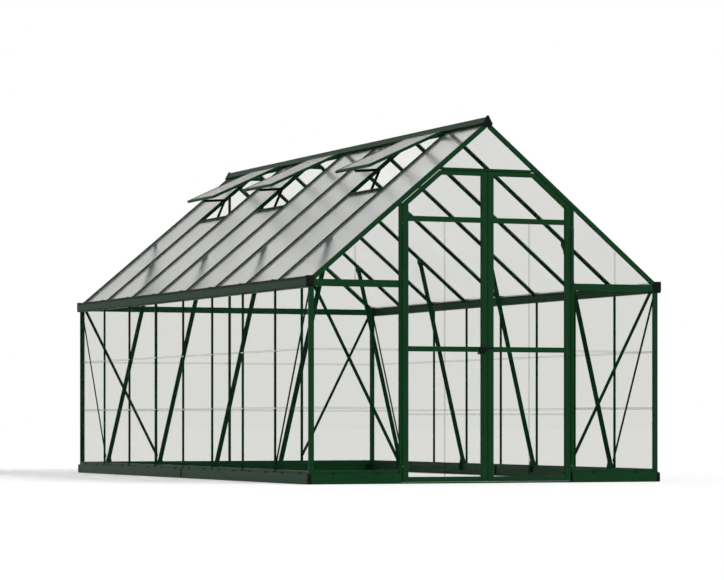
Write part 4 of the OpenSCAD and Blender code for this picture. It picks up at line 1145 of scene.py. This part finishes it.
@dataclass
class Fasteners(SubAssembly):
    """Bolts and screws, placed on the plates and caps that they hold."""

    braced: tuple[int, ...] = (1, 3, 5, 7)
    gusset_y: float = 0.0082
    gusset_x: float = 0.034
    gusset_z: float = 2.2562
    head_x: float = 0.846
    head_z: float = 1.5600
    diagonal_x: float = 1.2129
    diagonal_foot_z: float = 0.132
    side_top: tuple[float, float] = (2.419, 1.2265)
    gable_y: float = 2.4269
    gable_top: tuple[float, float] = (1.1835, 1.244)
    jamb_foot_x: float = 0.605
    end_cap_y: float = 2.4541
    end_cap_spots: tuple[tuple[float, float], ...] = ((1.2105, 1.262), (1.2355, 1.295))
    ridge_cap_spots: tuple[tuple[float, float], ...] = ((0.013, 2.3290), (0.0, 2.2960))
    hinge_front: float = -2.4551
    hinge_x: tuple[float, float] = (0.60775, 0.58175)
    hinge_z: tuple[float, float] = (0.110, 1.650)
    hinge_screws: int = 10
    hinge_screw_radius: float = 0.0028

    def across(self, shape: Shape, x: float, y: float, z: float, y_face: float) -> None:
        """Adds bolts on both faces of a pair of plates, y_face from its middle along Y."""
        for end in (-1, 1):
            shape.bolt(aimed((x, y + end * y_face, z), (0, end, 0)))

    def frame_bolts(self) -> None:
        """Makes the bolts of the gussets, the braces' heads and the diagonals."""
        shape = Shape()
        for k in self.braced:
            y = self.grid.along(k)
            for side in Side:
                self.across(shape, side.value * self.gusset_x, y, self.gusset_z, self.gusset_y)
                self.across(shape, side.value * self.head_x, y, self.head_z, self.gusset_y)
        foot_y = self.grid.half_l - self.grid.bay
        for side in Side:
            s = side.value
            for end in (-1, 1):
                for y, z in ((foot_y, self.diagonal_foot_z), self.side_top):
                    shape.bolt(aimed((s * self.diagonal_x, end * y, z), (-s, 0, 0)))
                foot_x = self.grid.bay if end > 0 else self.jamb_foot_x
                for x, z in ((foot_x, self.diagonal_foot_z), self.gable_top):
                    shape.bolt(aimed((s * x, end * self.gable_y, z), (0, -end, 0)))
        self.workshop.hand_over("frame_bolts", shape.mesh, Finish.BLACK_METAL, "frame")

    def cap_screws(self) -> None:
        """Makes the screws of the end caps and the jambs' hinge plates."""
        shape = Shape()
        for end in (-1, 1):
            y = end * self.end_cap_y
            for side in Side:
                for x, z in self.end_cap_spots + self.ridge_cap_spots:
                    shape.screw(aimed((side.value * x, y, z), (0, end, 0)))
        for side in Side:
            self.hinge_row(shape, side.value * self.hinge_x[0])
        self.workshop.hand_over("frame_screws", shape.mesh, Finish.BLACK_METAL, "frame")

    def hinge_row(self, shape: Shape, x: float) -> None:
        """Adds a row of screws on a hinge plate.

        Args:
            shape: The shape that grows.
            x: Place across the house.
        """
        step = (self.hinge_z[1] - self.hinge_z[0]) / self.hinge_screws
        for i in range(self.hinge_screws):
            z = self.hinge_z[0] + (i + 0.5) * step
            place = aimed((x, self.hinge_front, z), (0, -1, 0))
            shape.screw(place, self.hinge_screw_radius)

    def build(self) -> None:
        """Makes every fastener."""
        self.frame_bolts()
        self.cap_screws()
        for side in Side:
            shape = Shape()
            self.hinge_row(shape, side.value * self.hinge_x[1])
            name = f"{side.leaf}_screws"
            self.workshop.hand_over(name, shape.mesh, Finish.BLACK_METAL, side.leaf)


@dataclass
class Mouldings(SubAssembly):
    """Rounded copies of the black mouldings, whose CAD edges are sharp."""

    sharp: float = math.radians(28)
    flat: float = math.radians(0.5)
    caps: tuple[str, ...] = ("gutter_end_caps", "ridge_end_caps", "base_corner_caps")
    cap_rounding: float = 0.0015
    lever_rounding: float = 0.0014

    def rounded(self, node: str, body: str, width: float) -> None:
        """Makes the rounded copy of one node.

        Args:
            node: The CAD node.
            body: The body that it rides on.
            width: Width of the rounding.
        """
        shape = self.workshop.copy_of(node)
        bmesh.ops.dissolve_limit(
            shape,
            angle_limit=self.flat,
            use_dissolve_boundaries=False,
            verts=shape.verts,
            edges=shape.edges,
        )
        edges = [e for e in shape.edges if e.is_manifold and e.calc_face_angle() > self.sharp]
        soften(shape, edges, width)
        self.workshop.hand_over(f"moulded_{node}", shape, Finish.BLACK_PLASTIC, body, node)

    def build(self) -> None:
        """Makes the rounded caps and the levers."""
        for node in self.caps:
            self.rounded(node, "frame", self.cap_rounding)
        self.rounded("door_levers", "handle", self.lever_rounding)


@dataclass
class Studio:
    """The camera, the lamps, the floor and the backdrop."""

    camera_place: Point = (-8.2432, -20.5172, 0.3972)
    yaw: float = math.radians(22.198)
    focal_px: float = 3092.94
    horizon_px: float = 421.03
    frame_px: tuple[int, int] = (724, 580)
    sensor: float = 36.0
    sight: float = 400.0
    floor_size: float = 120.0
    floor_z: float = -0.001
    world_light: float = 0.62
    seen_light: float = 1.0
    sun_light: float = 1.87
    sun_width: float = math.radians(25)
    sun_turn: Point = (math.radians(35), math.radians(35), 0.0)
    sheets_in_line: int = 48

    def camera(self) -> None:
        """Adds the level camera, whose view is shifted up."""
        data = bpy.data.cameras.new("camera")
        data.sensor_width = self.sensor
        data.lens = self.sensor * self.focal_px / self.frame_px[0]
        data.shift_y = (self.horizon_px - self.frame_px[1] / 2) / self.frame_px[0]
        data.clip_end = self.sight
        camera = bpy.data.objects.new("camera", data)
        camera.location = self.camera_place
        camera.rotation_euler = (math.pi / 2, 0, -self.yaw)
        bpy.context.scene.collection.objects.link(camera)
        bpy.context.scene.camera = camera

    def floor(self) -> None:
        """Adds the floor."""
        shape = bmesh.new()
        bmesh.ops.create_grid(shape, x_segments=1, y_segments=1, size=self.floor_size)
        piece = mesh_object("floor", shape)
        piece.location = (0, 0, self.floor_z)
        piece.data.materials.append(StudioFloor().make())

    def light(self) -> None:
        """Adds the world's even light and one soft sun."""
        world = bpy.data.worlds.new("studio")
        bpy.context.scene.world = world
        tree = NodeTree(world)
        output = tree.add("ShaderNodeOutputWorld")
        background = tree.add("ShaderNodeBackground", Color=(1, 1, 1, 1))
        seen = tree.seen_by("Camera", "Transmission", "Glossy")
        level = tree.spread(seen, self.world_light, self.seen_light, (0, 1))
        tree.join(level, background.inputs["Strength"])
        tree.join(background.outputs["Background"], output.inputs["Surface"])
        data = bpy.data.lights.new("sun", "SUN")
        data.energy = self.sun_light
        data.angle = self.sun_width
        sun = bpy.data.objects.new("sun", data)
        sun.rotation_euler = self.sun_turn
        bpy.context.scene.collection.objects.link(sun)

    def build(self) -> None:
        """Sets the stage and the view's colour handling."""
        self.camera()
        self.floor()
        self.light()
        scene = bpy.context.scene
        scene.view_settings.view_transform = "Standard"
        scene.cycles.transparent_max_bounces = self.sheets_in_line


class NodeLooks:
    """Chooses the finish of each CAD node that is shown as it is."""

    BY_SLOT: dict[str, Finish] = {
        "green_frame": Finish.GREEN,
        "black_plastic": Finish.BLACK_PLASTIC,
        "black_metal": Finish.BLACK_METAL,
        "clear_sheet": Finish.CLEAR,
        "roof_sheet": Finish.ROOF,
        "pin_steel": Finish.STEEL,
    }
    BY_NODE: dict[str, Finish] = {
        "base_side_rails": Finish.SHEEN_GREEN,
        # The matt green below paints shade on the bars, braces, diagonals and sills.
        "roof_bars_left": Finish.DULL_GREEN,
        "roof_bars_right": Finish.DULL_GREEN,
        "side_mullions": Finish.DULL_GREEN,
        "vent_sills": Finish.DULL_GREEN,
        "wall_braces": Finish.DULL_GREEN,
        "wall_diagonals": Finish.DULL_GREEN,
        "sheet_joiners": Finish.CLEAR_STRIP,
    }

    def __init__(self, frame: dict[str, Any], wardrobe: Wardrobe) -> None:
        """Reads the nodes' slots.

        Args:
            wardrobe: The finishes.
        """
        self.frame = frame
        self.wardrobe = wardrobe
        self.slots = {row["node"]: row["material_slot"] for row in frame["record"]["subparts"]}

    def apply(self) -> None:
        """Dresses every node."""
        for name, node in self.frame["nodes"].items():
            finish = self.BY_NODE.get(name, self.BY_SLOT[self.slots[name]])
            self.wardrobe.dress_node(node, finish)
            LOG.info("dressed %s", name)


GROUPS: tuple[type[SubAssembly], ...] = (
    RoofSheets,
    SeamStrips,
    JoinerLinks,
    RoofTrim,
    BarShoes,
    DoorTrim,
    Fasteners,
    Mouldings,
)


def main() -> None:
    """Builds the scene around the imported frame."""
    logging.basicConfig(level=logging.INFO, format="%(name)s: %(message)s")
    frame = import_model()
    wardrobe = Wardrobe()
    NodeLooks(frame, wardrobe).apply()
    workshop = Workshop(frame, wardrobe)
    for group in GROUPS:
        group(workshop).build()
    Studio().build()


if __name__ == "__main__":
    main()
